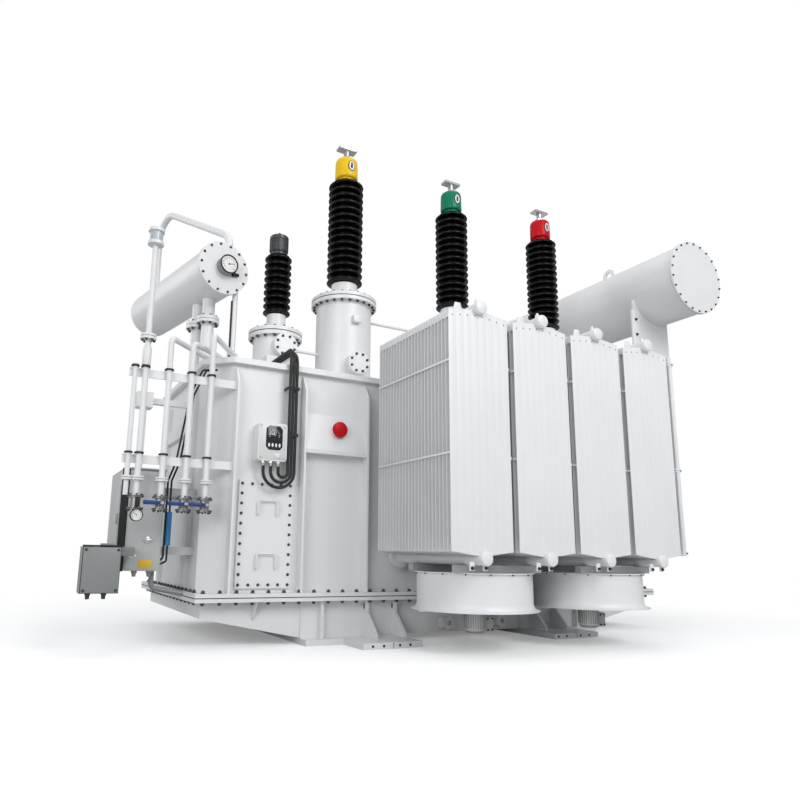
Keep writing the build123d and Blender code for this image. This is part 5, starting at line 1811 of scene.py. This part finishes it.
@dataclass
class DriveEnd:
    """Cabinet trim, door seal, junction box and conduits at the tank's left end."""

    finishes: Finishes
    fasteners: Fasteners
    front: float = -0.720
    rear: float = -0.080
    left: float = -2.742
    right: float = -2.492
    low: float = 0.526
    high: float = 1.245
    door: tuple[float, float] = (-2.784, -2.748)
    # Each lock's X and Z, its reach, radius, facets and rounding.
    lock_rounds: tuple[tuple[float, float, float, float, int, float], ...] = (
        (-2.701, 0.629, 0.016, 0.017, 24, 0.003), (-2.672, 0.629, 0.013, 0.009, 16, 0.002),
    )
    gland_xs: tuple[float, float] = (-2.662, -2.560)
    gland_y: float = -0.690
    gland_radii: Triple = (0.022, 0.016, 0.013)
    elbow: tuple[Point, ...] = ((-2.530, -0.640, 0.440), (-2.520, -0.640, 0.405), (-2.302, -0.640, 0.365))
    gear_rows: int = 3
    gear_first: float = 0.20
    gear_pitch: float = 0.18
    box_front: float = -1.004
    box_screw_xs: tuple[float, float] = (-3.020, -2.820)
    box_screw_zs: tuple[float, float] = (0.410, 0.670)
    box_gland_xs: tuple[float, float] = (-2.980, -2.880)
    box_gland_y: float = -0.905
    box_gland_heights: Triple = (0.390, 0.376, 0.350)
    box_gland_radii: Triple = (0.020, 0.015, 0.012)
    conduit_lags: tuple[float, float] = (0.0, 0.026)
    conduit_line: tuple[Point, ...] = (
        (-2.236, -0.926, 2.010), (-2.320, -0.926, 1.990), (-2.400, -0.924, 1.790), (-2.470, -0.924, 1.290),
        (-2.470, -0.700, 1.180),
    )
    conduit_low: Point = (-2.470, -0.700, 0.620)
    conduit_end: Point = (-2.493, -0.700, 0.600)

    def cabinet(self) -> None:
        """Add the cabinet's side panel, roof, locks, plate and glands."""
        panel, locks, plate, glands = (Form() for _ in range(4))
        y, left, right, low, high = self.front, self.left, self.right, self.low, self.high
        panel.block(
            (left + 0.008, y - 0.007, low + 0.008), (right - 0.008, y - 0.0005, high - 0.008), 0.0045
        )
        panel.block((left - 0.004, y - 0.022, high), (right + 0.006, self.rear + 0.010, high + 0.012), 0.004)
        locks.rod((-2.593, y - 0.007, 0.743), (-2.593, y - 0.015, 0.743), 0.024, 32, round_by=0.003)
        locks.block((-2.626, y - 0.026, 0.737), (-2.560, y - 0.014, 0.749), 0.004)
        for x, z, reach, radius, steps, rounding in self.lock_rounds:
            locks.rod((x, y - 0.007, z), (x, y - reach, z), radius, steps, round_by=rounding)
        plate.block((-2.645, y - 0.0095, 0.545), (-2.547, y - 0.006, 0.606), 0.0015)
        for x in self.gland_xs:
            self.fasteners.gland(glands, x, self.gland_y, (low, low - 0.014, low - 0.040), self.gland_radii)
        glands.tube([(*self.elbow[0][:2], low), *self.elbow], 0.019, 0.030, 16)
        panel.piece("cabinet_side_panel", self.finishes.cabinet, Slot.CABINET)
        locks.piece("cabinet_locks", self.finishes.aluminium, Slot.ALUMINIUM)
        plate.piece("cabinet_blank_plate", self.finishes.label, Slot.YELLOW)
        glands.piece("cabinet_glands", self.finishes.box, Slot.CABINET)

    def gear(self) -> None:
        """Fill the cabinet with a mounting plate and plain gear."""
        form = Form()
        front, rear, right = self.front, self.rear, self.right
        form.block(
            (right - 0.012, front + 0.03, self.low + 0.03),
            (right - 0.0045, rear - 0.03, self.high - 0.03), 0.002,
        )
        for k in range(self.gear_rows):
            z = self.low + self.gear_first + self.gear_pitch * k
            form.block((right - 0.075, front + 0.09, z), (right - 0.012, front + 0.25, z + 0.10), 0.005)
            form.block((right - 0.060, front + 0.30, z + 0.01), (right - 0.012, rear - 0.09, z + 0.07), 0.004)
        form.piece("cabinet_gear", self.finishes.box, Slot.GREY)

    def door_trim(self) -> None:
        """Run the black seal round the door's edge and set its handle."""
        seal, handle = Form(), Form()
        front, rear, low, high = self.front, self.rear, self.low, self.high
        near, far = self.door[0] - 0.001, self.door[1] + 0.001
        seal.block((near - 0.012, front - 0.0045, low - 0.002), (far, front - 0.0004, high + 0.004), 0.0015)
        seal.block((near, front, high + 0.0004), (far, rear, high + 0.004), 0.0015)
        seal.block((near, front, low - 0.004), (far, rear, low - 0.0004), 0.0015)
        face = self.door[0]
        handle.block((face - 0.012, -0.660, 0.840), (face - 0.0004, -0.620, 0.940), 0.004)
        handle.block((face - 0.030, -0.648, 0.850), (face - 0.012, -0.632, 0.930), 0.005)
        handle.block((face - 0.004, -0.600, 0.640), (face - 0.0004, -0.200, 1.140), 0.0018)
        seal.piece("door_edge_seal", self.finishes.gasket, Slot.RUBBER, Body.DOOR)
        handle.piece("door_handle", self.finishes.cabinet, Slot.CABINET, Body.DOOR)

    def junction(self) -> None:
        """Add the junction box's lid, seal, screws and glands."""
        lid, seal, screws = (Form() for _ in range(3))
        f = self.fasteners
        lid.block((-3.036, self.box_front, 0.394), (-2.804, -0.9935, 0.686), 0.006)
        lid.block((-2.920, -0.900, 0.690), (-2.830, -0.840, 0.712), 0.004)
        seal.block((-3.039, -0.9935, 0.391), (-2.801, -0.9898, 0.689))
        seal.block((-3.042, -1.000, 0.6905), (-2.798, -0.970, 0.700), 0.002)
        for x in self.box_screw_xs:
            for z in self.box_screw_zs:
                f.one(screws, (x, self.box_front, z), FRONT, 0.014)
        for x in self.box_gland_xs:
            f.gland(screws, x, self.box_gland_y, self.box_gland_heights, self.box_gland_radii)
        lid.piece("junction_lid", self.finishes.box, Slot.CABINET)
        seal.piece("junction_seal", self.finishes.gasket, Slot.RUBBER)
        screws.piece("junction_screws", self.finishes.bolt, Slot.STEEL)

    def loom(self) -> None:
        """Run the end's two conduits and the blue sleeve down to the cabinet."""
        conduits, sleeve = Form(), Form()
        low_x, low_y, low_z = self.conduit_low
        end_x, end_y, end_z = self.conduit_end
        for lag in self.conduit_lags:
            route = [(x + lag, y, z) for x, y, z in self.conduit_line]
            route += [(low_x + lag, low_y, low_z - lag), (end_x, end_y, end_z - lag)]
            conduits.tube(route, 0.0075, 0.018, 12)
        sleeve.tube([(-2.446, -0.712, 0.950), (-2.446, -0.712, 0.705)], 0.019, 0.05, 16)
        conduits.piece("end_conduits", self.finishes.rubber, Slot.RUBBER)
        sleeve.piece("end_hose", self.finishes.hose, Slot.BLUE)

    def build(self) -> None:
        """Make the drive end's fittings."""
        self.cabinet()
        self.gear()
        self.door_trim()
        self.junction()
        self.loom()


@dataclass
class Fans:
    """Rolled fan ducts and finned motors under the radiators."""

    finishes: Finishes
    fasteners: Fasteners
    xs: tuple[float, float] = (-0.3617, 0.7915)
    y: float = -1.58605
    duct_profile: Profile = (
        (0.416, 0.556), (0.442, 0.556), (0.442, 0.549), (0.4275, 0.548), (0.424, 0.544), (0.424, 0.345),
        (0.426, 0.327), (0.432, 0.311), (0.442, 0.299), (0.455, 0.293), (0.470, 0.292), (0.470, 0.287),
        (0.454, 0.288), (0.440, 0.294), (0.427, 0.308), (0.419, 0.326), (0.416, 0.345), (0.416, 0.556),
    )
    hood_profile: Profile = (
        (0.030, 0.118), (0.060, 0.121), (0.077, 0.134), (0.077, 0.142), (0, 0.142), (0, 0.118),
        (0.030, 0.118),
    )
    motor_fins: int = 28
    duct_flange: float = 0.548
    box_reach: float = 0.0655
    box_half: float = 0.049
    box_screw_zs: tuple[float, float] = (0.142, 0.220)
    screw: float = 0.012

    def build(self) -> None:
        """Make the ducts and the motors' fins, hoods and terminal boxes."""
        fin = Form().block((0.073, -0.0022, 0.150), (0.083, 0.0022, 0.262), 0.001).pattern("motor_fin")
        fins, bolts = Form(), Form()
        f = self.fasteners
        near, far = self.y - self.box_half, self.y + self.box_half
        for i, x in enumerate(self.xs):
            axis = (x, self.y, 0)
            number = i + 1
            Form().turned(self.duct_profile, axis, steps=112).piece(
                f"fan_duct_{number}", self.finishes.white, Slot.WHITE, replaces=(f"fan_cowl_{number}",)
            )
            bolts.stamp(f.bolt, f.circle((x, self.y, self.duct_flange), DOWN, 0.434, 16, self.screw))
            fins.stamp(fin, [
                Matrix.Translation(axis) @ Matrix.Rotation(math.tau * (k + 0.5) / self.motor_fins, 4, "Z")
                for k in range(self.motor_fins)
            ])
            fins.turned(self.hood_profile, axis, UP, 40)
            box = x + self.box_reach
            fins.block((box + 0.004, near, 0.128), (box + 0.071, far, 0.2345), 0.004)
            for z in self.box_screw_zs:
                row = f.row((box + 0.016, near, z), (box + 0.058, near, z), 2, FRONT, self.screw)
                bolts.stamp(f.bolt, row)
        fins.piece("fan_motor_fins", self.finishes.motor, Slot.FAN)
        bolts.piece("fan_bolts", self.finishes.bolt, Slot.STEEL)


def main() -> None:
    """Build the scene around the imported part."""
    logging.basicConfig(level=logging.INFO, format="%(name)s: %(message)s")
    Studio().build()
    finishes = Finishes()
    dress_solids(finishes)
    fasteners = Fasteners()
    for assembly in (PressedRadiators, Bushings, Conservators, TankFittings, PipeRack, DriveEnd, Fans):
        assembly(finishes, fasteners).build()
        LOG.info("built %s", assembly.__name__)


if __name__ == "__main__":
    main()
